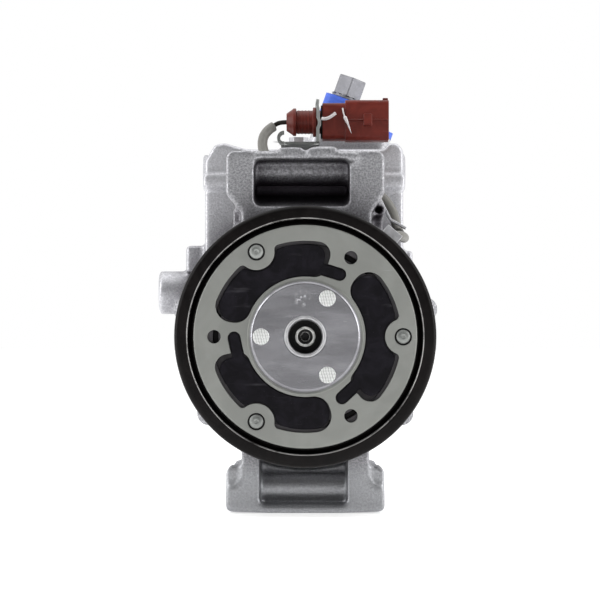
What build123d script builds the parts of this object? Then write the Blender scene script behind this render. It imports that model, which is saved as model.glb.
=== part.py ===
from build123d import *
import os
from math import atan, cos, degrees, radians, sin, tan

# Automotive air-conditioning compressor: seven single-headed pistons driven by a swash plate, with
# an electromagnetic clutch. Millimetres. +X is right and +Z is up as seen from the clutch end, and
# +Y runs from the clutch to the rear head. The origin lies on the shaft axis, in the middle plane of
# the belt grooves.

# --- Driving dimensions -------------------------------------------------------------------------

# Pulley, with its six-rib belt track and the friction disc in its front
PULLEY_R = 55.0
PULLEY_FRONT, PULLEY_REAR = -14.0, 13.0
RIM_INNER_R = 49.3
RIM_LIP_R = 2.2
RIB_COUNT, RIB_PITCH, RIB_DEPTH, RIB_LAND = 6, 3.56, 2.8, 0.5
RIB_HALF_ANGLE = 20.0
DISC_FRONT, DISC_REAR = -7.0, -2.0
COIL_WELL_R = 46.0
PULLEY_HUB_R = 30.0
PULLEY_HUB_REAR = 14.0

# Pulley bearing, two rows of balls
BEARING_R, BEARING_BORE_R = 26.0, 17.5
BEARING_FRONT, BEARING_REAR = -6.0, 14.0
BALL_R, BALL_RING_R, BALLS_PER_ROW = 2.45, 21.75, 18
BALL_ROWS = (0.0, 8.0)
RACE_GAP = 1.15

# Field coil
COIL_INNER_R, COIL_OUTER_R = 31.0, 45.2
COIL_FRONT, COIL_REAR = -1.2, 16.4
COIL_PLATE_T = 1.8

# Clutch armature, hub and hub plate
ARMATURE_INNER_R, ARMATURE_R = 27.0, 46.4
ARMATURE_FRONT, ARMATURE_GAP = -11.0, 0.5
PLATE_R = 46.9
PLATE_FRONT, PLATE_T = -14.0, 1.6
CROWN_R, CROWN_RISE = 23.2, 2.5
SPRING_T = 0.8
RUBBER_T = 1.0
OUTER_RIVET_RING, OUTER_RIVET_R, OUTER_HOLE_R = 41.0, 3.0, 3.6
INNER_RIVET_RING, INNER_RIVET_R = 18.5, 3.5
SIGHT_HOLE_RING, SIGHT_HOLE_R = 38.2, 2.8
WINDOW_INNER_R, WINDOW_OUTER_R = 25.2, 40.2
WINDOW_START, WINDOW_END = 72.5, 169.0
WINDOW_END_R, WINDOW_START_R = 6.8, 5.4
EAR_ANGLE, EAR_R = 120.0, 7.6
PAD_INNER_R, PAD_OUTER_R = 25.5, 38.7
PAD_START, PAD_END = 76.0, 168.0
TAIL_ANGLE, TAIL_RING, TAIL_R, TAIL_LENGTH = 61.0, 29.8, 2.7, 12.0
HUB_R, HUB_MOUTH_R = 10.6, 7.2
HUB_FLANGE_R = 21.0

# Shaft and swash-plate drive
SHAFT_R, SHAFT_NOSE_R = 8.0, 6.0
SHAFT_FRONT, SHAFT_REAR = -6.0, 143.0
LUG_FRONT, LUG_REAR, LUG_R = 40.0, 50.0, 45.0
SWASH_FRONT, SWASH_REAR, SWASH_R = 80.0, 88.0, 44.4
RUNNING_GAP = 0.03

# Housings
NOSE_FRONT, NOSE_R, NOSE_SEAT_R = -9.0, BEARING_BORE_R, 20.4
BARREL_R, CAVITY_R = 57.0, 50.0
FRONT_FACE, CAVITY_FRONT = 18.2, 33.0
BLOCK_FRONT, BLOCK_REAR = 95.0, 150.0
HEAD_FRONT, HEAD_REAR = 153.4, 192.0
HEAD_R = 56.0
SEAL_RING, SEAL_RING_T = (50.4, 51.6), 1.2

# Cylinders
PISTON_COUNT = 7
CYLINDER_RING, CYLINDER_R = 35.5, 13.5
PISTON_R = CYLINDER_R - 0.05
SHOE_SPHERE_R = 9.0
STUD_RING, STUD_R = 54.8, 3.0

# Mounting lugs: bolts run across the compressor, along X
CAST_EDGE = 1.2
LUG_HOLE_R = 4.25
BOLT_TUBE_R = 6.6
LUG_POCKET = (-22.0, 19.0, 56.0, 76.0)
POCKET_FLOOR_RISE = 5.8
FOOT_POCKET = (-19.6, 18.2, -72.4, -50.0)
FRONT_LUG = (20.0, 46.0)
REAR_LUG = (101.0, 141.0)
FRONT_LUG_HALF = 34.2
FRONT_LUG_TOP, FOOT_BOTTOM = 80.0, -76.0
TOP_BORE_Z, FOOT_BORE_Z = 72.0, -65.5
REAR_TOP_BORE_Z = 76.0
REAR_LEFT_X, REAR_RIGHT_X = -46.0, 45.0
REAR_TOP = 86.0
SIDE_BOSS_X, SIDE_BOSS_Z, SIDE_BOSS_Y, SIDE_BOSS_R = -68.0, 20.5, 122.0, 10.0

# Port block on the rear head, leaning to the right
PORT_TILT = 20.0
PORT_FACE = (23.8, 174.0, 101.2)
PORT_LENGTH, PORT_WIDTH = 37.0, 30.0
SUCTION_R, DISCHARGE_R = 7.5, 6.0
PORT_SPACING, PORT_SHIFT = 11.5, 4.0
CAP_BOLT_SPOT = (-8.6, -6.0)
CAP_BOLT_TOP = 10.8
CAP_T, CAP_FLANGE_T = 10.6, 3.0

# Control valve pocket, opening to the left of the rear head
VALVE_Y, VALVE_Z, VALVE_R = 174.0, -11.0, 7.95

# Coil connector, lying along X above the front housing
CONNECTOR_Y, CONNECTOR_Z = 70.0, 96.4
LEAD_R, SLEEVE_R = 1.0, 2.2
SPARE_HOLE, SPARE_HOLE_R = (31.8, 55.1), 1.6
CLAMP_SCREW = (27.6, 66.0)

# The lead leaves the boot and enters its sleeve, which bows to the left, drops behind the front lug,
# crosses the barrel under the connector, turns down beside the clamp and ends at the coil's gland.
LEAD_ROUTE = [(2.0, 70.0, 96.0), (-11.0, 70.0, 96.0), (-14.2, 68.6, 94.0)]
SLEEVE_ROUTE = [
    (-14.2, 68.6, 94.0), (-18.0, 66.9, 91.6), (-19.6, 62.4, 85.0), (-16.4, 57.4, 77.6),
    (-8.6, 55.0, 71.8), (2.8, 54.6, 69.0), (14.6, 56.0, 67.8), (25.6, 57.4, 66.2),
    (34.0, 57.8, 62.4), (38.4, 57.4, 56.6), (40.0, 56.6, 50.4), (41.4, 53.4, 45.4),
    (43.8, 45.0, 43.0), (42.0, 35.0, 44.0), (37.0, 27.4, 43.6), (37.0, 18.2, 43.6),
]
GLAND_ANGLE = 49.7

os.makedirs("parts", exist_ok=True)


# --- Helpers ------------------------------------------------------------------------------------

def turned(*corners):
    """Solid of revolution about Y; each corner is (radius, y)."""
    return revolve(make_face(Polyline(*corners, close=True)), axis=Axis.Y)


def ring(inner_r, outer_r, front, rear):
    """Plain ring about Y."""
    return turned((inner_r, front), (outer_r, front), (outer_r, rear), (inner_r, rear))


def rod(radius, front, rear, x=0.0, z=0.0):
    """Cylinder along Y."""
    return along_y(Pos(x, z) * Circle(radius), front, rear)


def along_y(sketch, front, rear):
    """Extrude a sketch drawn in X and Z from y=front to y=rear."""
    plane = Plane(origin=(0, rear, 0), x_dir=(1, 0, 0), z_dir=(0, -1, 0))
    return extrude(plane * sketch, amount=rear - front)


def along_x(sketch, left, right):
    """Extrude a sketch drawn in Y and Z from x=left to x=right."""
    plane = Plane(origin=(left, 0, 0), x_dir=(0, 1, 0), z_dir=(1, 0, 0))
    return extrude(plane * sketch, amount=right - left)


def along_z(sketch, low, high):
    """Extrude a sketch drawn in X and Y from z=low to z=high."""
    return extrude(Plane.XY.offset(low) * sketch, amount=high - low)


def block(x, y, z):
    """Box between pairs of limits."""
    size = (x[1] - x[0], y[1] - y[0], z[1] - z[0])
    centre = (sum(x) / 2, sum(y) / 2, sum(z) / 2)
    return Pos(*centre) * Box(*size)


def polar(radius, angle):
    """Point of the X-Z view at an angle measured from +X towards +Z."""
    return radius * cos(radians(angle)), radius * sin(radians(angle))


def around(count, start=0.0):
    """Evenly spaced angles."""
    return [start + 360.0 * index / count for index in range(count)]


def spun(shape, angle):
    """Turn a shape about the shaft so that +X moves towards +Z."""
    return Rot(0, -angle, 0) * shape


def repeated(shape, angles):
    """Copies of a shape about the shaft, as separate solids."""
    return [spun(shape, angle) for angle in angles]


def outline(*corners, radius=0.0):
    """Closed face through the corners, all rounded by the same radius."""
    face = make_face(Polyline(*corners, close=True))
    if radius:
        face = fillet(face.vertices(), radius)
    return face


def torus_y(ring_r, tube_r, y):
    """Torus about the shaft axis."""
    return Pos(0, y, 0) * Rot(90, 0, 0) * Torus(ring_r, tube_r)


def hexagon_y(across_flats, front, rear):
    """Hexagonal prism along Y."""
    return along_y(RegularPolygon(across_flats / 2, 6, major_radius=False), front, rear)


def save(name, *pieces):
    """Write one node; more than one piece makes a group of separate solids."""
    solids = [solid for piece in pieces for solid in piece.solids()]
    shape = solids[0] if len(solids) == 1 else Compound(children=solids)
    export_step(shape, f"parts/{name}.step")


# --- Pulley and its bearing ---------------------------------------------------------------------

def rib_profile():
    """Outer edge of the belt track, from the rear land to the front land, as (radius, y)."""
    half_top = (RIB_PITCH - RIB_LAND) / 2
    half_bottom = half_top - RIB_DEPTH * tan(radians(RIB_HALF_ANGLE))
    points = []
    for index in range(RIB_COUNT):
        middle = (RIB_COUNT - 1) / 2 * RIB_PITCH - index * RIB_PITCH
        points += [(PULLEY_R, middle + half_top), (PULLEY_R - RIB_DEPTH, middle + half_bottom)]
        points += [(PULLEY_R - RIB_DEPTH, middle - half_bottom), (PULLEY_R, middle - half_top)]
    return points


def rim_lip():
    """Rounded outer lip of the rim's front: a quarter circle, as (radius, y)."""
    steps = 8
    lip = []
    for index in range(steps + 1):
        x, z = polar(RIM_LIP_R, 90.0 - 90.0 * index / steps)
        lip.append((PULLEY_R - RIM_LIP_R + x, PULLEY_FRONT + RIM_LIP_R - z))
    return lip


def pulley():
    """Grooved rim, slotted friction disc and bearing hub in one piece."""
    edge = 0.8
    body = turned(
        (24.6, DISC_FRONT), (RIM_INNER_R - 1.3, DISC_FRONT), (RIM_INNER_R, DISC_FRONT - 1.3),
        (RIM_INNER_R, PULLEY_FRONT + 0.5), (RIM_INNER_R + 0.5, PULLEY_FRONT),
        *rim_lip(), *reversed(rib_profile()),
        (PULLEY_R, PULLEY_REAR - edge), (PULLEY_R - edge, PULLEY_REAR),
        (COIL_WELL_R, PULLEY_REAR), (COIL_WELL_R, DISC_REAR), (PULLEY_HUB_R, DISC_REAR),
        (PULLEY_HUB_R, PULLEY_HUB_REAR), (BEARING_R, PULLEY_HUB_REAR), (BEARING_R, BEARING_FRONT),
        (24.6, BEARING_FRONT))
    for ring_r, count, sweep_angle, start in ((33.4, 4, 66.0, 0.0), (42.6, 6, 44.0, 15.0)):
        for angle in around(count, start):
            band = SlotArc(CenterArc((0, 0), ring_r, angle, sweep_angle), 2.2)
            body -= along_y(band, DISC_FRONT - 1, DISC_REAR + 1)
    return body


def bearing():
    """Races, balls, cage and lip seals of the double-row pulley bearing."""
    inner_top = BALL_RING_R - RACE_GAP
    outer_low = BALL_RING_R + RACE_GAP
    outer = ring(outer_low, BEARING_R, BEARING_FRONT, BEARING_REAR)
    inner = ring(BEARING_BORE_R, inner_top, BEARING_FRONT, BEARING_REAR)
    cage = ring(BALL_RING_R - 0.5, BALL_RING_R + 0.5, BALL_ROWS[0] - 3.4, BALL_ROWS[1] + 3.4)
    balls = []
    for row, y in enumerate(BALL_ROWS):
        track = torus_y(BALL_RING_R, BALL_R + 0.12, y)
        outer -= track
        inner -= track
        for angle in around(BALLS_PER_ROW, row * 180.0 / BALLS_PER_ROW):
            x, z = polar(BALL_RING_R, angle)
            balls.append(Pos(x, y, z) * Sphere(BALL_R))
            cage -= Pos(x, y, z) * Sphere(BALL_R + 0.04)
    seals = [ring(inner_top + 0.1, outer_low, BEARING_FRONT + 0.2, BEARING_FRONT + 1.2),
             ring(inner_top + 0.1, outer_low, BEARING_REAR - 1.2, BEARING_REAR - 0.2)]
    save("bearing_outer_race", outer)
    save("bearing_inner_race", inner)
    save("bearing_balls", *balls)
    save("bearing_cage", cage)
    save("bearing_seals", *seals)


def snap_ring(inner_r, outer_r, front, rear, gap_angle):
    """Open retaining ring about Y with two eyes beside its gap, which points up."""
    body = ring(inner_r, outer_r, front, rear)
    wedge = outline((0, 0), polar(outer_r * 2, 90 - gap_angle), polar(outer_r * 2, 90 + gap_angle))
    return body - along_y(wedge, front - 1, rear + 1)


def field_coil():
    """Wound coil in a steel shell, with the resin face towards the friction disc."""
    shell = ring(COIL_INNER_R, COIL_OUTER_R, COIL_FRONT, COIL_REAR)
    groove = ring(COIL_INNER_R + 3.2, COIL_OUTER_R - 3.2, COIL_FRONT - 1, COIL_FRONT + 0.8)
    return shell - groove


def coil_plate():
    """Plate that holds the coil on the front housing, with a lug for the lead."""
    rear = COIL_REAR + COIL_PLATE_T
    plate = ring(NOSE_SEAT_R, COIL_OUTER_R, COIL_REAR, rear)
    for angle in around(4, 25.0):
        x, z = polar(27.5, angle)
        plate -= rod(2.6, COIL_REAR - 1, rear + 1, x, z)
    gland = block((COIL_OUTER_R - 3.0, COIL_OUTER_R + 14.6), (COIL_REAR, rear), (-4.0, 4.0))
    return plate + spun(gland, GLAND_ANGLE)


# --- Clutch -------------------------------------------------------------------------------------

def sector(inner, outer, start, end, start_corner, end_corner):
    """Part of a ring between two angles, with its corners rounded."""
    face = make_face([
        CenterArc((0, 0), outer, start, end - start),
        Line(polar(outer, end), polar(inner, end)),
        CenterArc((0, 0), inner, start, end - start),
        Line(polar(inner, start), polar(outer, start)),
    ])
    for angle, radius in ((start, start_corner), (end, end_corner)):
        for ring_r in (outer, inner):
            x, z = polar(ring_r, angle)
            corner = face.vertices().sort_by_distance((x, z, 0))[0]
            face = fillet([corner], radius)
    return face


def less_ear(face, ear_r, tip_r):
    """Cut the round ear of an outer rivet out of a sector and round the two tips beside it."""
    middle = Vector(*polar(OUTER_RIVET_RING, EAR_ANGLE))
    shape = face - Pos(middle.X, middle.Y) * Circle(ear_r)
    tips = [vertex for vertex in shape.vertices()
            if abs((Vector(vertex.X, vertex.Y) - middle).length - ear_r) < 0.05]
    return fillet(tips, tip_r)


def tail(width):
    """Round-ended slot that leaves a window at its starting side."""
    half_angle = degrees(TAIL_LENGTH / 2 / TAIL_RING)
    tip = Vector(*polar(TAIL_RING, TAIL_ANGLE))
    far = Vector(*polar(TAIL_RING, TAIL_ANGLE + 2 * half_angle))
    slope = far - tip
    heading = degrees(atan(slope.Y / slope.X)) + 180.0
    middle = tip + slope.normalized() * TAIL_LENGTH / 2
    return Pos(middle.X, middle.Y) * Rot(0, 0, heading) * SlotCenterToCenter(TAIL_LENGTH, width)


def window():
    """One opening of the hub plate."""
    face = sector(WINDOW_INNER_R, WINDOW_OUTER_R, WINDOW_START, WINDOW_END,
                  WINDOW_START_R, WINDOW_END_R)
    return less_ear(face, EAR_R, 2.0) + tail(2 * TAIL_R)


def pad():
    """Rubber in one window, which leaves a gap along the window's outer side."""
    face = sector(PAD_INNER_R, PAD_OUTER_R, PAD_START, PAD_END, 4.6, 6.2)
    return less_ear(face, EAR_R + 0.5, 3.2) + tail(2 * TAIL_R - 0.8)


def hub_plate():
    """Pressed front plate: a flat slotted ring and a raised crown round the hub."""
    rear = PLATE_FRONT + PLATE_T
    crown_front = PLATE_FRONT - CROWN_RISE
    plate = turned(
        (HUB_MOUTH_R + 1.6, crown_front), (CROWN_R - 1.0, crown_front),
        (CROWN_R, crown_front + 0.8), (CROWN_R + 1.0, PLATE_FRONT),
        (PLATE_R - 0.4, PLATE_FRONT), (PLATE_R, PLATE_FRONT + 0.4), (PLATE_R, rear),
        (CROWN_R - 1.2, rear), (CROWN_R - 1.8, crown_front + PLATE_T),
        (HUB_MOUTH_R + 1.6, crown_front + PLATE_T))
    opening = along_y(window(), PLATE_FRONT - 1, rear + 1)
    for angle in around(3):
        plate -= spun(opening, angle)
        plate -= rod(OUTER_HOLE_R, PLATE_FRONT - 1, rear + 1, *polar(OUTER_RIVET_RING, angle))
        plate -= rod(SIGHT_HOLE_R, PLATE_FRONT - 1, rear + 1, *polar(SIGHT_HOLE_RING, angle + 60))
        plate -= rod(2.4, crown_front - 1, rear + 1, *polar(INNER_RIVET_RING, angle + 60))
    return plate


def leaf_springs():
    """Three flat springs from the hub's rivets to the armature's rivets."""
    front = PLATE_FRONT + PLATE_T
    start, end = 54.0, 166.0
    blade = make_face([
        CenterArc((0, 0), 38.6, start, end - start),
        Line(polar(38.6, end), polar(24.4, end)),
        CenterArc((0, 0), 24.4, start, end - start),
        Line(polar(24.4, start), polar(38.6, start)),
    ])
    blade = fillet(blade.vertices(), 3.0)
    blade -= Pos(*polar(SIGHT_HOLE_RING, 60)) * Circle(SIGHT_HOLE_R + 1.0)
    outer_eye = Pos(*polar(OUTER_RIVET_RING, 120)) * Circle(4.9)
    inner_eye = Pos(*polar(INNER_RIVET_RING, 60)) * Circle(5.2)
    neck = Rot(0, 0, 60) * Pos(23.0, 0) * Rectangle(9.0, 8.0)
    sketch = blade + outer_eye + inner_eye + neck
    sketch -= Pos(*polar(OUTER_RIVET_RING, 120)) * Circle(2.1)
    sketch -= Pos(*polar(INNER_RIVET_RING, 60)) * Circle(2.4)
    return repeated(along_y(sketch, front, front + SPRING_T), around(3))


def damper_rubbers():
    """Rubber faces bonded to the leaf springs, showing in the plate's windows."""
    rear = PLATE_FRONT + PLATE_T
    return repeated(along_y(pad(), rear - RUBBER_T, rear), around(3))


def hub():
    """Splined hub with the flange that carries the plate."""
    flange_front = PLATE_FRONT - CROWN_RISE + PLATE_T
    flange_rear = PLATE_FRONT + PLATE_T
    mouth = PLATE_FRONT - CROWN_RISE - 0.5
    body = turned(
        (HUB_MOUTH_R, mouth + 0.6), (HUB_MOUTH_R + 0.5, mouth), (HUB_MOUTH_R + 1.2, mouth),
        (HUB_MOUTH_R + 1.6, mouth + 0.4), (HUB_MOUTH_R + 1.6, flange_front),
        (HUB_FLANGE_R, flange_front), (HUB_FLANGE_R, flange_rear), (HUB_R, flange_rear),
        (HUB_R, -1.0), (SHAFT_NOSE_R, -1.0), (SHAFT_NOSE_R, SHAFT_FRONT),
        (3.2, SHAFT_FRONT), (3.2, SHAFT_FRONT - 1.6), (HUB_MOUTH_R, SHAFT_FRONT - 1.6))
    for angle in around(3, 60.0):
        body -= rod(2.4, flange_front - 1, flange_rear + 1, *polar(INNER_RIVET_RING, angle))
    return body


def hub_rivets():
    """Flat-headed rivets that join plate, hub flange and leaf springs."""
    front = PLATE_FRONT - CROWN_RISE
    rear = PLATE_FRONT + PLATE_T + SPRING_T
    rivet = turned((0, front - 0.7), (INNER_RIVET_R - 0.3, front - 0.7),
                   (INNER_RIVET_R, front - 0.3), (INNER_RIVET_R, front), (2.4, front),
                   (2.4, rear), (INNER_RIVET_R, rear), (INNER_RIVET_R - 0.4, rear + 0.8),
                   (0, rear + 0.8))
    x, z = polar(INNER_RIVET_RING, 60)
    return repeated(Pos(x, 0, z) * rivet, around(3))


def armature_plate():
    """Steel disc that the coil pulls on to the friction disc."""
    rear = DISC_FRONT - ARMATURE_GAP
    plate = ring(ARMATURE_INNER_R, ARMATURE_R, ARMATURE_FRONT, rear)
    for angle in around(3, 20.0):
        band = SlotArc(CenterArc((0, 0), 37.6, angle, 70.0), 2.2)
        plate -= along_y(band, ARMATURE_FRONT - 1, rear + 1)
    for angle in around(3):
        x, z = polar(OUTER_RIVET_RING, angle)
        plate += rod(4.6, PLATE_FRONT + PLATE_T + SPRING_T, ARMATURE_FRONT, x, z)
        plate -= rod(2.0, PLATE_FRONT, rear + 1, x, z)
    return plate


def armature_rivets():
    """Domed rivets that join the armature to the outer ends of the leaf springs."""
    spring_front = PLATE_FRONT + PLATE_T
    rear = DISC_FRONT - ARMATURE_GAP
    head_front = PLATE_FRONT - 0.9
    rivet = turned((0, head_front), (OUTER_RIVET_R - 1.6, head_front),
                   (OUTER_RIVET_R - 0.5, head_front + 0.35), (OUTER_RIVET_R, head_front + 1.0),
                   (OUTER_RIVET_R, spring_front), (2.0, spring_front), (2.0, rear - 0.4),
                   (0, rear - 0.4))
    return repeated(Pos(OUTER_RIVET_RING, 0, 0) * rivet, around(3))


def centre_bolt():
    """Hexagon bolt, its washer face and its shank in the shaft end."""
    seat = SHAFT_FRONT - 1.6
    head = hexagon_y(8.0, seat - 4.4, seat - 0.8) & turned(
        (0, seat - 4.4), (3.7, seat - 4.4), (5.2, seat - 3.5), (5.2, seat - 0.8), (0, seat - 0.8))
    dimple = rod(2.0, seat - 5.0, seat - 3.6)
    return head - dimple + rod(5.4, seat - 0.8, seat) + rod(3.0, seat, 10.0)


# --- Housings -----------------------------------------------------------------------------------

def stud_angles():
    """Angles of the long bolts, midway between the cylinders."""
    half_step = 180.0 / PISTON_COUNT
    return around(PISTON_COUNT, 90.0 + half_step)


def barrel_ears(front, rear):
    """Bosses along the barrel that hold the long bolts."""
    ears = []
    for angle in stud_angles():
        ears.append(rod(5.6, front, rear, *polar(STUD_RING - 0.3, angle)))
    return ears


def front_lug():
    """Upper mounting lug: two bosses, a bolt tube between them and a blind pocket with a sloping
    floor; three small pads of the die line stand on its upper edge."""
    front, rear = FRONT_LUG
    half = FRONT_LUG_HALF
    face = outline(
        (-half, 61.8), (-half, FRONT_LUG_TOP - 2), (-half + 2, FRONT_LUG_TOP),
        (-12, FRONT_LUG_TOP), (-10.6, FRONT_LUG_TOP + 1.6), (-2, FRONT_LUG_TOP + 1.6),
        (0, FRONT_LUG_TOP), (2, FRONT_LUG_TOP), (4, FRONT_LUG_TOP + 2.0),
        (12.6, FRONT_LUG_TOP + 2.0), (15, FRONT_LUG_TOP), (half - 2, FRONT_LUG_TOP),
        (half, FRONT_LUG_TOP - 2), (half, 61.8), (28.5, 53.4), (28.5, 38), (-27.5, 38),
        (-27.5, 53.4))
    lug = along_y(face, front, rear)
    top_round = along_x(Pos((front + rear) / 2, 66) * RectangleRounded(rear - front, 60, 4.0),
                        -half - 1, half + 1)
    lug = lug & top_round
    left, right, floor, roof = LUG_POCKET
    back = rear - 5
    pocket = along_y(outline((left, floor), (left, roof), (right, roof), (right, floor)),
                     front - 4, back)
    pocket = fillet(pocket.edges().filter_by(Axis.Y), 3.0)
    pocket = fillet(pocket.faces().sort_by(Axis.Y)[-1].edges(), 2.0)
    lug -= pocket
    slope = make_face(Polyline((front, floor - 1), (back + 1, floor - 1),
                               (back + 1, floor + POCKET_FLOOR_RISE), (front, floor), close=True))
    lug += along_x(slope, left - 1, right + 1)
    lug += along_x(Pos((front + rear) / 2, TOP_BORE_Z) * Circle(BOLT_TUBE_R), left - 2, right + 2)
    for start, end, top in ((-21.0, -10.0, 78.8), (1.4, 12.8, 81.4), (14.0, 22.4, 78.6)):
        pad_block = block((start, end), (front - 1.2, front + 6.0), (roof + 0.2, top))
        lug += chamfer(pad_block.edges().filter_by(Axis.Y), 0.7)
    return lug


def front_foot():
    """Lower mounting lug: a pocket with its bolt tube, and round hollows in its outer corners."""
    front, rear = FRONT_LUG
    half = FRONT_LUG_HALF
    face = outline(
        (-27.5, -38), (-27.5, -55.5), (-half + 1.6, -56.2), (-half, -58), (-half, -74),
        (-half + 1.5, -75.4), (-15, FOOT_BOTTOM), (15, FOOT_BOTTOM), (half - 1.5, -75.4),
        (half, -74), (half, -58), (half - 1.6, -56.2), (27.5, -55.5), (27.5, -38))
    foot = along_y(face, front, rear)
    foot = fillet(foot.faces().sort_by(Axis.Y)[0].edges(), CAST_EDGE)
    foot = fillet(foot.faces().sort_by(Axis.Y)[-1].edges(), CAST_EDGE)
    left, right, floor, roof = FOOT_POCKET
    pocket = along_y(outline((left, roof), (left, floor), (right, floor), (right, roof)),
                     front - 1, rear - 8)
    foot -= fillet(pocket.edges().filter_by(Axis.Y), 2.0)
    foot += along_x(Pos((front + rear) / 2, FOOT_BORE_Z) * Circle(BOLT_TUBE_R), left - 1, right + 1)
    for side in (-1, 1):
        foot -= rod(6.2, front - 1, front + 1.4, side * (half - 0.6), -58.4)
    return foot


def front_cavity():
    """Space inside the front housing: seal bore, bearing bore and crankcase."""
    return turned(
        (0, NOSE_FRONT - 1), (13.0, NOSE_FRONT - 1), (13.0, 19.0), (9.0, 19.0), (9.0, 21.0),
        (11.5, 21.0), (11.5, 34.5), (21.0, 34.5), (24.0, CAVITY_FRONT), (34.0, CAVITY_FRONT),
        (CAVITY_R - 2, 40.0), (CAVITY_R, 44.0), (CAVITY_R, BLOCK_FRONT + 1), (0, BLOCK_FRONT + 1))


def front_housing():
    """Aluminium casting: bearing nose, bell, crankcase wall and the two front lugs."""
    shell = turned(
        (0, NOSE_FRONT), (NOSE_R, NOSE_FRONT), (NOSE_R, BEARING_REAR), (NOSE_SEAT_R, BEARING_REAR),
        (NOSE_SEAT_R, FRONT_FACE), (45.0, FRONT_FACE), (49.0, 20.0), (54.0, 27.0),
        (BARREL_R, 36.0), (BARREL_R, BLOCK_FRONT), (0, BLOCK_FRONT))
    for ear in barrel_ears(60.0, BLOCK_FRONT):
        shell += ear
    shell += front_lug()
    shell += front_foot()
    for x in (-30.0, 30.0):
        shell += block((x - 1.6, x + 1.6), (FRONT_LUG[1] - 1, 80.0), (44.0, 56.0))
    shell += cable_clamp_boss()
    shell -= front_cavity()
    shell -= ring(NOSE_R - 1.0, NOSE_R + 1.0, -7.2, BEARING_FRONT)
    shell -= ring(NOSE_SEAT_R - 1.0, NOSE_SEAT_R + 1.0, 15.2, COIL_REAR)
    shell -= ring(12.0, 13.8, 8.4, 9.6)
    for angle in stud_angles():
        shell -= rod(STUD_R, BLOCK_FRONT - 15.0, BLOCK_FRONT + 1, *polar(STUD_RING, angle))
    tube_y = sum(FRONT_LUG) / 2
    for z in (TOP_BORE_Z, FOOT_BORE_Z):
        shell -= along_x(Pos(tube_y, z) * Circle(LUG_HOLE_R), -FRONT_LUG_HALF - 2, FRONT_LUG_HALF + 2)
    shell -= clamp_screw_hole()
    shell -= rod(SPARE_HOLE_R, 29.0, 42.0, *SPARE_HOLE)
    return shell


def rear_saddle():
    """Upper rear lug: a wide saddle with tangential sides and a pocket in its front."""
    front, rear = REAR_LUG
    left, right, top = REAR_LEFT_X, REAR_RIGHT_X, REAR_TOP
    face = outline(
        (left, 34), (left, top - 5.5), (left + 4.5, top + 2.2), (left + 9, top + 3),
        (left + 17, top + 0.6), (left + 21, top), (right - 9, top), (right - 6.5, top + 3),
        (right - 2.4, top + 2.6), (right, top - 0.6), (right, 34))
    saddle = along_y(face, front, rear)
    saddle = fillet(saddle.faces().sort_by(Axis.Y)[0].edges(), CAST_EDGE)
    saddle = fillet(saddle.faces().sort_by(Axis.Y)[-1].edges(), CAST_EDGE)
    pocket = along_y(Pos(-0.5, 70.5) * RectangleRounded(60, 21, 4), front - 1, rear - 8)
    saddle -= pocket
    for side, x in ((-1, left), (1, right)):
        for z in (52.0, 64.0):
            cut = along_y(Pos(x, z) * RectangleRounded(3.0, 8.0, 1.0), front + 6, rear - 6)
            saddle -= cut
        saddle += along_x(Pos(sum(REAR_LUG) / 2, REAR_TOP_BORE_Z) * Circle(9.0),
                          min(x, x + side * 1.4), max(x, x + side * 1.4))
    saddle += along_x(Pos(sum(REAR_LUG) / 2, REAR_TOP_BORE_Z) * Circle(BOLT_TUBE_R), left + 8,
                      right - 8)
    for start, end in ((left - 0.7, left + 12.6), (right - 12.6, right + 0.7)):
        saddle += block((start, end), (front - 1.5, front + 5.0), (68.6, 73.8))
    return saddle


def rear_foot():
    """Lower rear lug, which stands level with the front foot."""
    front, rear = REAR_LUG[0] + 4, REAR_LUG[1] - 8
    half = FRONT_LUG_HALF - 1.2
    face = outline((-24, -38), (-26, -56), (-half, -58.5), (-half, -74), (-half + 2, FOOT_BOTTOM),
                   (half - 2, FOOT_BOTTOM), (half, -74), (half, -58.5), (26, -56), (24, -38))
    foot = along_y(face, front, rear)
    foot = fillet(foot.faces().sort_by(Axis.Y)[0].edges(), CAST_EDGE)
    foot = fillet(foot.faces().sort_by(Axis.Y)[-1].edges(), CAST_EDGE)
    pocket = along_y(Pos(0, -63) * RectangleRounded(38, 17, 3), front - 1, rear - 7)
    return foot - pocket


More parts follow.
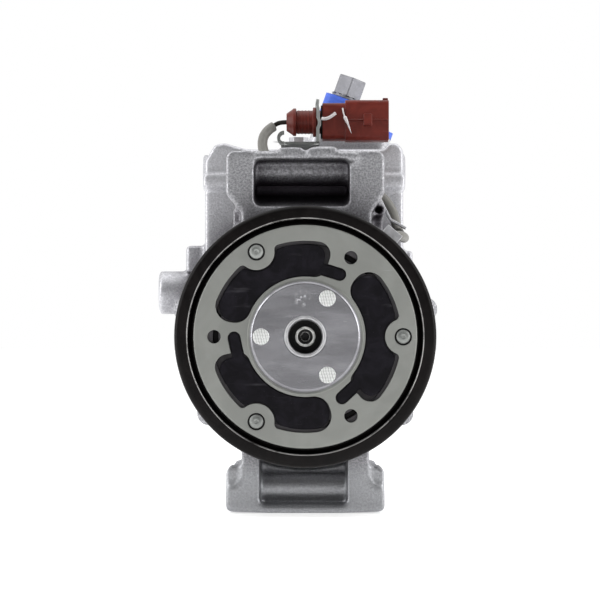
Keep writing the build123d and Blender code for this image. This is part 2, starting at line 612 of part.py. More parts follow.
def cylinder_block():
    """Aluminium block with seven bores, the rear lugs and the side boss."""
    block_body = turned((0, BLOCK_FRONT), (BARREL_R, BLOCK_FRONT), (BARREL_R, BLOCK_REAR),
                        (0, BLOCK_REAR))
    for ear in barrel_ears(BLOCK_FRONT, BLOCK_REAR):
        block_body += ear
    block_body += rear_saddle()
    block_body += rear_foot()
    block_body += block((-55.0, -38.0), (108.0, 138.0), (29.5, 42.0))
    block_body += block((38.0, 49.4), (104.0, 128.0), (30.0, 39.5))
    boss = along_x(Pos(SIDE_BOSS_Y, SIDE_BOSS_Z) * Circle(SIDE_BOSS_R), SIDE_BOSS_X, -40.0)
    boss = chamfer(boss.faces().sort_by(Axis.X)[0].edges(), 1.0)
    block_body += boss
    block_body += block((-52.0, -38.0), (SIDE_BOSS_Y - 3, SIDE_BOSS_Y + 3), (8.0, 36.0))
    for angle in around(PISTON_COUNT, 90.0):
        block_body -= rod(CYLINDER_R, BLOCK_FRONT - 1, BLOCK_REAR + 1, *polar(CYLINDER_RING, angle))
    for angle in stud_angles():
        block_body -= rod(STUD_R + 0.3, BLOCK_FRONT - 1, BLOCK_REAR + 1, *polar(STUD_RING, angle))
    block_body -= rod(11.5, BLOCK_FRONT - 1, 144.5)
    block_body -= rod(3.0, 144.0, BLOCK_REAR + 1)
    block_body -= ring(SEAL_RING[0], SEAL_RING[1], BLOCK_FRONT - 1, BLOCK_FRONT + SEAL_RING_T)
    middle = sum(REAR_LUG) / 2
    block_body -= along_x(Pos(middle, REAR_TOP_BORE_Z) * Circle(LUG_HOLE_R), -60, 60)
    block_body -= along_x(Pos(middle - 2, FOOT_BORE_Z) * Circle(LUG_HOLE_R), -60, 60)
    block_body -= along_x(Pos(SIDE_BOSS_Y, SIDE_BOSS_Z) * Circle(3.4), SIDE_BOSS_X - 1,
                          SIDE_BOSS_X + 16)
    block_body -= bracket_screw_hole()
    return block_body


def port_plane():
    """Plane of the port face: local X runs down the slope, local Y towards the rear."""
    tilt = radians(PORT_TILT)
    return Plane(origin=PORT_FACE, x_dir=(cos(tilt), 0, -sin(tilt)), z_dir=(sin(tilt), 0, cos(tilt)))


def port_spots():
    """Centres of the suction and discharge ports on the port plane."""
    return (PORT_SPACING, PORT_SHIFT), (-PORT_SPACING, PORT_SHIFT)


def port_solid(sketch, low, high):
    """Extrude a sketch of the port plane between two heights above the face."""
    return extrude(port_plane().offset(low) * sketch, amount=high - low)


def rear_head():
    """Casting with suction and discharge chambers, the port block and the valve pocket."""
    head = turned((0, HEAD_FRONT), (HEAD_R, HEAD_FRONT), (HEAD_R, HEAD_REAR - 9),
                  (HEAD_R - 3, HEAD_REAR - 4), (HEAD_R - 10, HEAD_REAR), (0, HEAD_REAR))
    for ear in barrel_ears(HEAD_FRONT, HEAD_REAR - 8):
        head += ear
    outline_face = RectangleRounded(PORT_LENGTH, PORT_WIDTH, 5.0)
    head += port_solid(outline_face, -55.0, 0.0)
    shoulder = along_y(Pos(25.0, 62.0) * RectangleRounded(37.0, 52.0, 5.0), HEAD_FRONT, HEAD_REAR - 4)
    head += shoulder
    for x in (-22.0, 0.0):
        head += block((x - 1.8, x + 1.8), (HEAD_FRONT + 3, HEAD_REAR + 1.5), (-46.0, 46.0))
    head += rod(11.0, HEAD_REAR - 6, HEAD_REAR + 5, 26.0, -22.0)
    head += along_x(Pos(VALVE_Y, VALVE_Z) * Circle(11.5), -58.5, -20.0)
    head -= ring(16.0, 30.0, HEAD_FRONT - 1, 172.0)
    head -= ring(34.0, 48.5, HEAD_FRONT - 1, 176.0)
    for (x, y), radius in zip(port_spots(), (SUCTION_R, DISCHARGE_R)):
        head -= port_solid(Pos(x, y) * Circle(radius), -30.0, 1.0)
    head -= port_solid(Pos(*CAP_BOLT_SPOT) * Circle(3.4), -16.0, 1.0)
    for angle in stud_angles():
        head -= rod(STUD_R + 0.3, HEAD_FRONT - 1, HEAD_REAR, *polar(STUD_RING, angle))
        head -= rod(5.3, HEAD_REAR - 8, HEAD_REAR + 2, *polar(STUD_RING, angle))
    head -= along_x(Pos(VALVE_Y, VALVE_Z) * Circle(VALVE_R), -61.0, -27.0)
    head -= rod(5.0, HEAD_REAR - 8, HEAD_REAR + 6, 26.0, -22.0)
    return head


def through_bolts():
    """Seven long bolts from the rear head through the block into the front housing."""
    seat = HEAD_REAR - 8
    bolts = []
    for angle in stud_angles():
        x, z = polar(STUD_RING, angle)
        shank = rod(STUD_R, BLOCK_FRONT - 12.0, seat)
        head = rod(5.0, seat, seat + 6.0) - hexagon_y(5.0, seat + 2.5, seat + 7.0)
        head = head + rod(STUD_R, seat - 1.0, seat)
        bolts.append(Pos(x, 0, z) * (shank + head))
    return bolts


def valve_group():
    """Reeds, valve plate, retainer and gasket between block and rear head."""
    plate_layers = (("suction_reed", BLOCK_REAR, 150.4), ("valve_plate", 150.4, 152.4),
                    ("head_gasket", 152.4, HEAD_FRONT))
    for name, front, rear in plate_layers:
        layer = ring(3.0, HEAD_R, front, rear)
        for ear in barrel_ears(front, rear):
            layer += ear
        for angle in stud_angles():
            layer -= rod(STUD_R + 0.3, front - 1, rear + 1, *polar(STUD_RING, angle))
        if name == "head_gasket":
            layer -= rod(33.4, front - 1, rear + 1)
        for angle in around(PISTON_COUNT, 90.0):
            layer -= valve_openings(name, angle, front - 1, rear + 1)
        save(name, layer)
    for name, front, rear in (("discharge_reed", 152.4, 152.7), ("reed_retainer", 152.7, HEAD_FRONT)):
        star = ring(3.0, 33.4, front, rear)
        for angle in around(PISTON_COUNT, 90.0):
            star -= valve_openings(name, angle, front - 1, rear + 1)
        save(name, star)


def valve_openings(name, angle, front, rear):
    """Openings of one layer at one cylinder, cut right through."""
    if name == "head_gasket":
        chamber = make_face([
            CenterArc((0, 0), 47.5, -21, 42), Line(polar(47.5, 21), polar(35, 21)),
            CenterArc((0, 0), 35, -21, 42), Line(polar(35, -21), polar(47.5, -21))])
        return spun(along_y(chamber, front, rear), angle)
    discharge = rod(3.2, front, rear, *polar(25.5, angle))
    if name == "valve_plate":
        return discharge + rod(3.6, front, rear, *polar(41.0, angle))
    if name == "suction_reed":
        spot, root, hole = 41.0, 35.6, discharge
    else:
        spot, root, hole = 25.5, 20.6, None
    tongue = along_y(Pos(spot, 0) * (Circle(5.2) - Circle(4.2)), front, rear)
    tongue -= along_y(Pos(root, 0) * Rectangle(3.0, 5.0), front, rear)
    tongue = spun(tongue, angle)
    return tongue + hole if hole else tongue


# --- Shaft, swash plate and pistons -------------------------------------------------------------

def shaft():
    """Drive shaft with its nose, seal land and journals."""
    body = turned(
        (0, SHAFT_FRONT), (SHAFT_NOSE_R, SHAFT_FRONT), (SHAFT_NOSE_R, 0.0), (SHAFT_R, 2.0),
        (SHAFT_R, SHAFT_REAR - 1.0), (SHAFT_R - 1.0, SHAFT_REAR), (0, SHAFT_REAR))
    return body - rod(3.0, SHAFT_FRONT - 1, 12.0)


def hub_shim():
    """Thin washer between hub and shaft shoulder that sets the clutch gap."""
    return ring(SHAFT_NOSE_R, 9.0, -1.0, 0.0)


def lug_plate():
    """Disc fixed on the shaft, with two arms that drive the swash plate."""
    plate = turned(
        (SHAFT_R, LUG_FRONT), (20.0, LUG_FRONT), (24.0, LUG_FRONT + 1.5), (LUG_R - 2, LUG_FRONT + 3),
        (LUG_R, LUG_FRONT + 5), (LUG_R, LUG_REAR), (16.0, LUG_REAR), (14.0, LUG_REAR + 3),
        (SHAFT_R, LUG_REAR + 3))
    for x in (-7.4, 7.4):
        plate += block((x - 2.2, x + 2.2), (LUG_REAR - 1, 71.0), (13.4, 19.4))
    return plate - rod(4.0, LUG_FRONT - 1, LUG_REAR + 1, 0.0, -32.0)


def swash_plate():
    """Drive disc, square to the shaft at minimum stroke, with hub and hinge tongue."""
    plate = turned(
        (SHAFT_R + RUNNING_GAP, SWASH_FRONT - 6), (13.0, SWASH_FRONT - 6), (15.0, SWASH_FRONT - 4),
        (17.0, SWASH_FRONT), (SWASH_R - 0.8, SWASH_FRONT), (SWASH_R, SWASH_FRONT + 0.8),
        (SWASH_R, SWASH_REAR - 0.8), (SWASH_R - 0.8, SWASH_REAR), (14.0, SWASH_REAR),
        (13.0, SWASH_REAR + 3), (SHAFT_R + RUNNING_GAP, SWASH_REAR + 3))
    tongue = block((-4.8, 4.8), (62.0, SWASH_FRONT + 1), (15.4, 20.6))
    return plate + tongue


def destroke_spring():
    """Coil spring between lug plate and swash plate."""
    wire = 0.9
    low, high = LUG_REAR + 3 + wire, SWASH_FRONT - 6 - wire
    path = Helix(pitch=(high - low) / 5, height=high - low, radius=SHAFT_R + 2.4)
    section = Plane(origin=path @ 0, z_dir=path % 0) * Circle(wire)
    coil = sweep(section, path=path, is_frenet=True)
    return Pos(0, high, 0) * Rot(90, 0, 0) * coil


def piston():
    """Piston at +X: crown, neck, and the skirt that straddles the swash plate's edge."""
    plate_middle = (SWASH_FRONT + SWASH_REAR) / 2
    half_gap = SHOE_SPHERE_R
    crown = rod(PISTON_R, 112.0, 149.4)
    for y in (142.0, 146.0):
        crown -= ring(PISTON_R - 0.8, PISTON_R + 1, y, y + 1.2)
    crown -= rod(PISTON_R - 3.2, 110.0, 144.0)
    stem = rod(9.5, plate_middle + half_gap, 113.0) + rod(PISTON_R, 97.0, 104.0)
    stem += rod(PISTON_R, 111.0, 114.0)
    skirt = rod(PISTON_R, 68.0, 97.0)
    skirt -= block((-30, 9.6), (plate_middle - half_gap + 1.6, plate_middle + half_gap - 1.6),
                   (-30, 30))
    skirt -= Pos(0, plate_middle, 0) * Sphere(SHOE_SPHERE_R + 0.04)
    return Pos(CYLINDER_RING, 0, 0) * (crown + stem + skirt)


def shoes():
    """Pair of half-ball shoes at +X, one on each face of the swash plate."""
    middle = (SWASH_FRONT + SWASH_REAR) / 2
    ball = Pos(0, middle, 0) * Sphere(SHOE_SPHERE_R)
    waist = rod(7.4, middle - 20, middle + 20)
    pair = []
    for low, high in ((middle - 20, SWASH_FRONT - RUNNING_GAP), (SWASH_REAR + RUNNING_GAP, middle + 20)):
        pair.append(Pos(CYLINDER_RING, 0, 0) * (ball & waist & rod(20, low, high)))
    return pair


def needle_bearing(name, shell_r, front, rear, count):
    """Rollers and cage round the shaft, in one node."""
    roller_r = (shell_r - SHAFT_R) / 2 - RUNNING_GAP
    ring_r = (shell_r + SHAFT_R) / 2
    cage = ring(ring_r - 0.55, ring_r + 0.55, front, rear)
    rollers = []
    for angle in around(count):
        x, z = polar(ring_r, angle)
        rollers.append(rod(roller_r, front + 1.5, rear - 1.5, x, z))
        cage -= rod(roller_r + 0.03, front + 1.46, rear - 1.46, x, z)
    save(name, cage, *rollers)


def thrust_bearing():
    """Race on the front housing and a cage of radial rollers in front of the lug plate."""
    race_front, race_rear = 34.5, 36.0
    save("thrust_race", ring(9.0, 20.0, race_front, race_rear))
    roller_r = (LUG_FRONT - race_rear) / 2 - RUNNING_GAP
    middle = (LUG_FRONT + race_rear) / 2
    cage = ring(9.6, 19.6, middle - 0.9, middle + 0.9)
    rollers = []
    for angle in around(14):
        roller = Pos(0, middle, 0) * along_x(Circle(roller_r), 12.2, 18.2)
        pocket = Pos(0, middle, 0) * along_x(Circle(roller_r + 0.04), 12.16, 18.24)
        rollers.append(spun(roller, angle))
        cage -= spun(pocket, angle)
    save("thrust_rollers", cage, *rollers)


def shaft_seal():
    """Lip seal with its metal case."""
    return turned(
        (13.0, 9.6), (13.0, 18.6), (8.8, 18.6), (SHAFT_R + RUNNING_GAP, 16.0),
        (SHAFT_R + RUNNING_GAP, 14.6), (9.6, 15.4), (11.4, 15.4), (11.4, 9.6))


# --- Connector, lead and ports ------------------------------------------------------------------

def connector_housing():
    """Two-pole plug housing lying along X: mating shell, keys, latch, flange and neck."""
    y, z = CONNECTOR_Y, CONNECTOR_Z
    shell = along_x(Pos(y, z) * RectangleRounded(17.0, 18.0, 2.0), 17.8, 37.2)
    shell += along_x(Pos(y, z - 0.4) * RectangleRounded(16.0, 16.2, 2.0), 7.6, 17.9)
    shell += along_x(Pos(y, z + 9.6) * RectangleRounded(3.0, 1.6, 0.5), 34.6, 37.0)
    shell += block((18.2, 36.6), (y - 9.0, y + 9.0), (z - 0.35, z + 0.35))
    shell += block((26.0, 29.6), (y - 9.9, y - 8.0), (z - 2.6, z + 2.8))
    shell += along_x(Pos(y, z - 0.4) * Circle(6.6), 3.4, 4.9)
    shell += along_x(Pos(y, z - 0.4) * Circle(5.2), -4.0, 8.0)
    shell -= along_x(Pos(y, z) * RectangleRounded(13.4, 14.0, 1.4), 20.0, 38.0)
    shell -= along_x(Pos(y, z - 0.4) * Circle(3.0), -5.0, 14.0)
    for pin in connector_terminals():
        shell -= pin
    return shell


def connector_boot():
    """Conical end cap that grips the lead."""
    middle = (CONNECTOR_Y, CONNECTOR_Z - 0.4)
    sketch = make_face(Polyline((LEAD_R + 0.02, -8.4), (4.0, -8.4), (6.2, -5.4), (6.2, -4.0),
                                (2.98, -4.0), (2.98, 2.0), (LEAD_R + 0.02, 2.0), close=True))
    return Pos(0, *middle) * Rot(0, 0, -90) * revolve(sketch, axis=Axis.Y)


def connector_terminals():
    """Two flat pins in the mating shell."""
    pins = []
    for z in (CONNECTOR_Z - 2.8, CONNECTOR_Z + 2.8):
        pins.append(block((15.0, 33.0), (CONNECTOR_Y - 1.4, CONNECTOR_Y + 1.4), (z - 0.4, z + 0.4)))
    return pins


def connector_bracket():
    """Pressed strip: an upright with a forked eye round the plug and a foot on the saddle."""
    y, z = CONNECTOR_Y, CONNECTOR_Z - 0.4
    spine = Polyline((5.6, REAR_TOP + 0.6), (5.6, z - 3.2), (6.3, z - 1.6), (6.3, z + 0.2),
                     (5.7, z + 1.8), (5.7, z + 5.4), (5.2, z + 7.4), (5.6, z + 9.6))
    upright = along_y(trace(spine, 1.4), y - 9.0, y + 9.0)
    upright -= along_x(Pos(y, z) * Circle(5.2), 4, 8)
    foot = along_z(Pos(-2.35, 92.5) * RectangleRounded(17.3, 43.0, 3.0), REAR_TOP, REAR_TOP + 1.4)
    foot += block((4.9, 6.3), (y + 3.0, y + 9.0), (REAR_TOP, REAR_TOP + 2.0))
    curl = along_y(Pos(-9.5, REAR_TOP + 3.2) * (Circle(3.2) - Circle(1.8))
                   & Pos(-12.7, REAR_TOP + 3.2) * Rectangle(6.4, 6.4), y + 1.5, y + 9.0)
    bracket = upright + foot + curl
    return bracket - along_z(Pos(-3.0, 107.0) * Circle(3.3), REAR_TOP - 1, REAR_TOP + 3)


def bracket_screw_hole():
    """Tapped hole in the top of the rear saddle."""
    return along_z(Pos(-3.0, 107.0) * Circle(2.5), REAR_TOP - 3.8, REAR_TOP + 1)


def cable_clamp_boss():
    """Small boss with a spare tapped hole, beside the lead on the upper right of the bell."""
    x, z = SPARE_HOLE
    rear = FRONT_LUG[1] - 0.5
    return rod(3.1, 30.0, rear, x, z) + block((22.0, x + 2.0), (34.0, rear), (46.0, z - 1.0))


def clamp_screw_hole():
    """Tapped hole in the rear face of the front lug, for the lead clamp."""
    return rod(2.0, FRONT_LUG[1] - 8.0, FRONT_LUG[1] + 1, *CLAMP_SCREW)


def cable_clamp():
    """Sheet-metal strip bent beside the lead, with an eye under its screw."""
    rear = FRONT_LUG[1]
    spine = Polyline((31.4, 63.4), (37.4, 51.6), (44.4, 47.6))
    strip = along_y(trace(spine, 1.1), rear, rear + 6.0)
    x, z = CLAMP_SCREW
    eye = Pos(x, z) * Circle(4.2) + Pos(x + 2.8, z - 1.2) * Rot(0, 0, -60) * Rectangle(6.0, 6.4)
    return strip + along_y(eye - Pos(x, z) * Circle(2.1), rear, rear + 1.1)


def screw(radius, head_af, head_t, length):
    """Hexagon screw with its seat at the origin and its shank along -Z."""
    head = extrude(RegularPolygon(head_af / 2, 6, major_radius=False), amount=head_t)
    flange = Cylinder(head_af * 0.62, 0.8, align=(Align.CENTER, Align.CENTER, Align.MIN))
    shank = Cylinder(radius, length, align=(Align.CENTER, Align.CENTER, Align.MAX))
    return head + flange + shank


def small_screws():
    """Bracket screw on the saddle and clamp screw on the front housing."""
    on_saddle = Pos(-3.0, 107.0, REAR_TOP + 1.4) * screw(2.5, 8.0, 4.4, 4.6)
    x, z = CLAMP_SCREW
    on_clamp = Pos(x, FRONT_LUG[1] + 1.1, z) * Rot(-90, 0, 0) * screw(2.0, 7.0, 3.2, 8.0)
    return on_saddle, on_clamp


def tube(points, radii, radius):
    """Round tube along straight runs joined by tangent arcs."""
    path = FilletPolyline(*points, radius=radii)
    section = Plane(origin=path @ 0, z_dir=path % 0) * Circle(radius)
    return sweep(section, path=path)


def arc_radii(points):
    """Largest tangent arcs: 0.45 of the shorter run over the tangent of half the turn."""
    radii = []
    for before, corner, after in zip(points, points[1:], points[2:]):
        run_in, run_out = Vector(*corner) - Vector(*before), Vector(*after) - Vector(*corner)
        turn = run_in.get_angle(run_out)
        radii.append(0.45 * min(run_in.length, run_out.length) / tan(radians(turn) / 2))
    return radii


def port_cap():
    """Transport cap: a flange over both ports and a raised block under its bolt."""
    cap = port_solid(RectangleRounded(PORT_LENGTH, PORT_WIDTH - 4.0, 6.0), 0.0, CAP_FLANGE_T)
    raised = Pos(-4.4, 0) * RectangleRounded(PORT_LENGTH - 9.0, PORT_WIDTH - 4.0, 5.0)
    cap += port_solid(raised, CAP_FLANGE_T - 0.5, CAP_T)
    return cap - port_solid(Pos(*CAP_BOLT_SPOT) * Circle(3.5), -1.0, CAP_T + 1)


def cap_bolt():
    """Hexagon flange bolt that holds the transport cap."""
    spot = Pos(*CAP_BOLT_SPOT)
    head = spot * Rot(0, 0, 30) * RegularPolygon(6.5, 6, major_radius=False)
    bolt = port_solid(head, CAP_T + 1.6, CAP_T + CAP_BOLT_TOP)
    bolt += port_solid(spot * Circle(7.0), CAP_T, CAP_T + 1.6)
    return bolt + port_solid(spot * Circle(3.35), -14.0, CAP_T)


def control_valve():
    """Capacity control valve in the side pocket of the rear head, and its moving plunger."""
    body = along_x(Pos(VALVE_Y, VALVE_Z) * Circle(VALVE_R), -54.0, -27.0)
    body -= along_x(Pos(VALVE_Y, VALVE_Z) * Circle(3.05), -54.5, -34.0)
    for x in (-48.0, -40.0, -32.0):
        body -= along_x(Pos(VALVE_Y, VALVE_Z) * (Circle(9.0) - Circle(6.9)), x - 0.9, x + 0.9)
    plunger = along_x(Pos(VALVE_Y, VALVE_Z) * Circle(3.0), -52.5, -36.0)
    return body, plunger


def relief_valve():
    """Pressure relief valve screwed into the boss on the back of the rear head."""
    rear = HEAD_REAR + 5
    body = rod(5.0, HEAD_REAR - 6, rear, 26.0, -22.0)
    hexagon = Pos(26.0, 0, -22.0) * hexagon_y(14.0, rear, rear + 5)
    stem = rod(4.6, rear + 5, rear + 9, 26.0, -22.0)
    return body + hexagon + stem - rod(2.0, rear + 4, rear + 10, 26.0, -22.0)


# --- Build and write every node -----------------------------------------------------------------

save("pulley", pulley())
bearing()
save("bearing_snap_ring", snap_ring(NOSE_R - 1.0, NOSE_R + 1.8, -7.2, BEARING_FRONT, 8.0))
save("field_coil", field_coil())
save("coil_plate", coil_plate())
save("coil_snap_ring", snap_ring(NOSE_SEAT_R - 1.0, NOSE_SEAT_R + 1.8, 15.2, COIL_REAR, 8.0))
save("armature_plate", armature_plate())
save("armature_rivets", *armature_rivets())
save("leaf_springs", *leaf_springs())
save("damper_rubbers", *damper_rubbers())
save("hub_plate", hub_plate())
save("hub", hub())
save("hub_rivets", *hub_rivets())
save("hub_shim", hub_shim())
save("centre_bolt", centre_bolt())
save("front_housing", front_housing())
save("cylinder_block", cylinder_block())
save("rear_head", rear_head())
save("body_gasket", ring(SEAL_RING[0], SEAL_RING[1], BLOCK_FRONT, BLOCK_FRONT + SEAL_RING_T))
valve_group()
save("through_bolts", *through_bolts())
save("shaft", shaft())
save("lug_plate", lug_plate())
save("swash_plate", swash_plate())
save("destroke_spring", destroke_spring())
for number, angle in enumerate(around(PISTON_COUNT, 90.0), start=1):
    save(f"piston_{number}", spun(piston(), angle))
save("piston_shoes", *[copy for shoe in shoes() for copy in repeated(shoe, around(PISTON_COUNT, 90.0))])
needle_bearing("front_needle_bearing", 11.5, 21.6, 33.6, 15)
needle_bearing("rear_needle_bearing", 11.5, 124.0, 139.0, 15)
thrust_bearing()
save("shaft_seal", shaft_seal())
save("seal_snap_ring", snap_ring(9.4, 13.8, 8.4, 9.6, 10.0))
save("connector_housing", connector_housing())
save("connector_boot", connector_boot())
save("connector_terminals", *connector_terminals())
save("connector_bracket", connector_bracket())
save("small_screws", *small_screws())
save("cable_clamp", cable_clamp())
save("coil_lead", tube(LEAD_ROUTE, arc_radii(LEAD_ROUTE), LEAD_R))
save("lead_sleeve", tube(SLEEVE_ROUTE, arc_radii(SLEEVE_ROUTE), SLEEVE_R))
save("port_cap", port_cap())
save("cap_bolt", cap_bolt())
valve_body, valve_plunger = control_valve()
save("control_valve", valve_body)
save("valve_plunger", valve_plunger)
save("relief_valve", relief_valve())
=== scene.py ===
"""Looks of a belt-driven swash-plate air-conditioning compressor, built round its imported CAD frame.

Metres. The shaft axis is Y, from the clutch at -Y to the rear head at +Y, X is right and Z is up.
"""

import math

import bmesh
import bpy
import numpy as np
from mathutils import Matrix, Vector


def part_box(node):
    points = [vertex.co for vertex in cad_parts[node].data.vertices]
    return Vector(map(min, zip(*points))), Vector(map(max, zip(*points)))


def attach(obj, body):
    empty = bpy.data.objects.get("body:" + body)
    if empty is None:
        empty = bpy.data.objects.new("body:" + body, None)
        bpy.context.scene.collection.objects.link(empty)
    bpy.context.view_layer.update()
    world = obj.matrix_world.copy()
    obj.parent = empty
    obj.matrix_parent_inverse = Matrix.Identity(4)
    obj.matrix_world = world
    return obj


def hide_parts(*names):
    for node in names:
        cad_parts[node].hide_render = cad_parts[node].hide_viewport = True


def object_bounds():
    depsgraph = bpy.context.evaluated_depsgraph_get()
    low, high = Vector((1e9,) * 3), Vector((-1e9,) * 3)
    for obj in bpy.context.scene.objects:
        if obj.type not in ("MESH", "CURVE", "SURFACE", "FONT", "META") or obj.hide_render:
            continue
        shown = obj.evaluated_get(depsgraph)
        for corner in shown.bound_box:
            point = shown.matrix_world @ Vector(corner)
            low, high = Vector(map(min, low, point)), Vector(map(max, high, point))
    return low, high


bl_info = {
    "name": "Air-conditioning compressor",
    "version": (1, 0, 0),
    "blender": (4, 5, 0),
    "location": "3D View > Sidebar > Compressor",
    "description": "Castings, clutch, plug, lead and ports of a belt-driven compressor",
    "category": "Object",
}

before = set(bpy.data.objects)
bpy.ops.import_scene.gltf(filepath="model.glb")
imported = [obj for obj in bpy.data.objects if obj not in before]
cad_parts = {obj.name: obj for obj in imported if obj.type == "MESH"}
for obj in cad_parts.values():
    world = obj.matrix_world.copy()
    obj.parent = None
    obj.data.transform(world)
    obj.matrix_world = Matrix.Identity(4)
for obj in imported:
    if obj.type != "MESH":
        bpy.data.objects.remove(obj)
cad_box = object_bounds()

MM = 0.001


# --- Shader building ------------------------------------------------------------------------------

class Amount:
    """A number that varies over a surface; sums and products of it become Math nodes."""

    def __init__(self, finish, socket):
        self.finish = finish
        self.socket = socket

    def maths(self, operation, other=0.0, swapped=False):
        """One Math node on this amount and another, in either order."""
        first, second = (other, self) if swapped else (self, other)
        node = self.finish.node("ShaderNodeMath", {"operation": operation}, {0: first, 1: second})
        return Amount(self.finish, node.outputs[0])

    def __add__(self, other):
        return self.maths("ADD", other)

    def __radd__(self, other):
        return self.maths("ADD", other, True)

    def __sub__(self, other):
        return self.maths("SUBTRACT", other)

    def __rsub__(self, other):
        return self.maths("SUBTRACT", other, True)

    def __mul__(self, other):
        return self.maths("MULTIPLY", other)

    def __rmul__(self, other):
        return self.maths("MULTIPLY", other, True)

    def __truediv__(self, other):
        return self.maths("DIVIDE", other)

    def __pow__(self, other):
        return self.maths("POWER", other)

    def sine(self):
        """Sine of the amount in radians."""
        return self.maths("SINE")

    def size(self):
        """The amount without its sign."""
        return self.maths("ABSOLUTE")

    def most(self, other):
        """The greater of two amounts."""
        return self.maths("MAXIMUM", other)

    def step(self, low, high):
        """0 below low, 1 above high, with a smooth rise between; falls where low is above high."""
        settings = {"interpolation_type": "SMOOTHSTEP"}
        node = self.finish.node("ShaderNodeMapRange", settings, {0: self, 1: low, 2: high})
        return Amount(self.finish, node.outputs[0])


class Finish:
    """One material and the nodes that go into it."""

    def __init__(self, name):
        self.material = bpy.data.materials.new(name)
        self.material.use_nodes = True
        self.tree = self.material.node_tree
        self.tree.nodes.clear()
        self.place = self.node("ShaderNodeTexCoord").outputs["Object"]

    def node(self, kind, settings=None, values=None):
        """Add a node: its settings come first, then the values or links of its sockets."""
        node = self.tree.nodes.new(kind)
        for key, setting in (settings or {}).items():
            setattr(node, key, setting)
        for key, value in (values or {}).items():
            if isinstance(value, Amount):
                value = value.socket
            if isinstance(value, bpy.types.NodeSocket):
                self.tree.links.new(value, node.inputs[key])
            else:
                node.inputs[key].default_value = value
        return node

    def noise(self, scale, detail=2.0, roughness=0.5, place=None, distortion=0.0):
        """Cloudy noise about 0.5; scale is in features to the metre."""
        values = {"Vector": place or self.place, "Scale": scale, "Detail": detail,
                  "Roughness": roughness, "Distortion": distortion}
        return Amount(self, self.node("ShaderNodeTexNoise", {}, values).outputs[0])

    def cells(self, scale):
        """Distance to scattered points; scale is in points to the metre."""
        values = {"Vector": self.place, "Scale": scale}
        node = self.node("ShaderNodeTexVoronoi", {"feature": "F1"}, values)
        return Amount(self, node.outputs["Distance"])

    def stretched(self, scale, turn=(0.0, 0.0, 0.0)):
        """Object coordinates turned and stretched, for brushed and scratched patterns."""
        values = {"Vector": self.place, "Rotation": turn, "Scale": scale}
        return self.node("ShaderNodeMapping", {"vector_type": "POINT"}, values).outputs[0]

    def axes(self):
        """The three object coordinates as amounts."""
        node = self.node("ShaderNodeSeparateXYZ", {}, {0: self.place})
        return [Amount(self, output) for output in node.outputs]

    def turned_place(self):
        """Radius and angle about the shaft axis, and the place along it."""
        x, y, z = self.axes()
        radius = (x * x + z * z) ** 0.5
        return radius, x.maths("ARCTAN2", z), y

    def combined(self, x, y, z):
        """A vector from three amounts or numbers."""
        return self.node("ShaderNodeCombineXYZ", {}, {0: x, 1: y, 2: z}).outputs[0]

    def hollows(self, reach):
        """1 on open faces and less in corners and pockets no wider than the reach."""
        node = self.node("ShaderNodeAmbientOcclusion", {"samples": 6}, {"Distance": reach})
        return Amount(self, node.outputs["AO"])

    def edges(self, low, high):
        """Rises from 0 on flat and hollow places to 1 on outside edges."""
        node = self.node("ShaderNodeNewGeometry")
        return Amount(self, node.outputs["Pointiness"]).step(low, high)

    def mix(self, share, first, second):
        """Blend two colours by an amount."""
        values = {0: share, 6: first, 7: second}
        return self.node("ShaderNodeMix", {"data_type": "RGBA"}, values).outputs[2]

    def bump(self, height, distance, strength=1.0):
        """Normal that follows a height given in parts of the distance."""
        values = {"Height": height, "Distance": distance, "Strength": strength}
        return self.node("ShaderNodeBump", {}, values).outputs[0]

    def done(self, values):
        """Close the material with a Principled shader."""
        shader = self.node("ShaderNodeBsdfPrincipled", {}, values)
        self.node("ShaderNodeOutputMaterial", {}, {"Surface": shader.outputs[0]})
        return self.material


def shade(colour, share):
    """A colour made darker or lighter by a factor."""
    return tuple(min(1.0, channel * share) for channel in colour[:3]) + (1.0,)


# --- Settings that a user would change ----------------------------------------------------------------

def colour_setting(name, description, default):
    """A colour that the user can change."""
    return bpy.props.FloatVectorProperty(name=name, description=description, default=default,
                                         size=3, min=0.0, max=1.0, subtype="COLOR")


def length_setting(name, description, default):
    """A length in metres that the user can change."""
    return bpy.props.FloatProperty(name=name, description=description, default=default,
                                   min=0.0, unit="LENGTH")


class StageSettings(bpy.types.PropertyGroup):
    camera_distance: length_setting("Camera distance", "From the camera to the belt's middle", 1.214)
    lens: bpy.props.FloatProperty(name="Lens", description="Focal length in mm", default=172.1)
    floor_size: length_setting("Floor size", "Side of the square floor", 30.0)
    floor_glow: bpy.props.FloatProperty(name="Floor glow", default=0.45, min=0.0,
                                        description="Light of the floor's own, as of a lit table")
    top_light: bpy.props.FloatProperty(name="Top light", description="Power of the soft light above",
                                       default=6.0, subtype="POWER")
    side_light: bpy.props.FloatProperty(name="Side lights", description="Power of each strip light",
                                        default=7.0, subtype="POWER")


class CastingSettings(bpy.types.PropertyGroup):
    colour: colour_setting("Aluminium", "Colour of the blasted castings", (0.56, 0.56, 0.585))
    # Painted shade: the colour painted into the hollows of the upper lugs.
    hollow_colour: colour_setting("Hollows", "Colour deep in the pockets", (0.045, 0.038, 0.048))
    grain: length_setting("Grain", "Height of the blasted grain", 0.00012)
    softness: length_setting("Corner softness", "Cell size that rounds the cast corners", 0.00108)


class ClutchSettings(bpy.types.PropertyGroup):
    coat: colour_setting("Coat", "Colour of the pulley's black coat", (0.0042, 0.0033, 0.0033))
    zinc: colour_setting("Plate", "Colour of the zinc plate", (0.262, 0.268, 0.252))
    crown: colour_setting("Crown", "Colour of the raised crown", (0.27, 0.268, 0.285))
    rubber: colour_setting("Rubber", "Colour of the damper rubber", (0.0062, 0.0055, 0.0078))
    edge: length_setting("Edge", "Rounding of pressed edges", 0.00022)


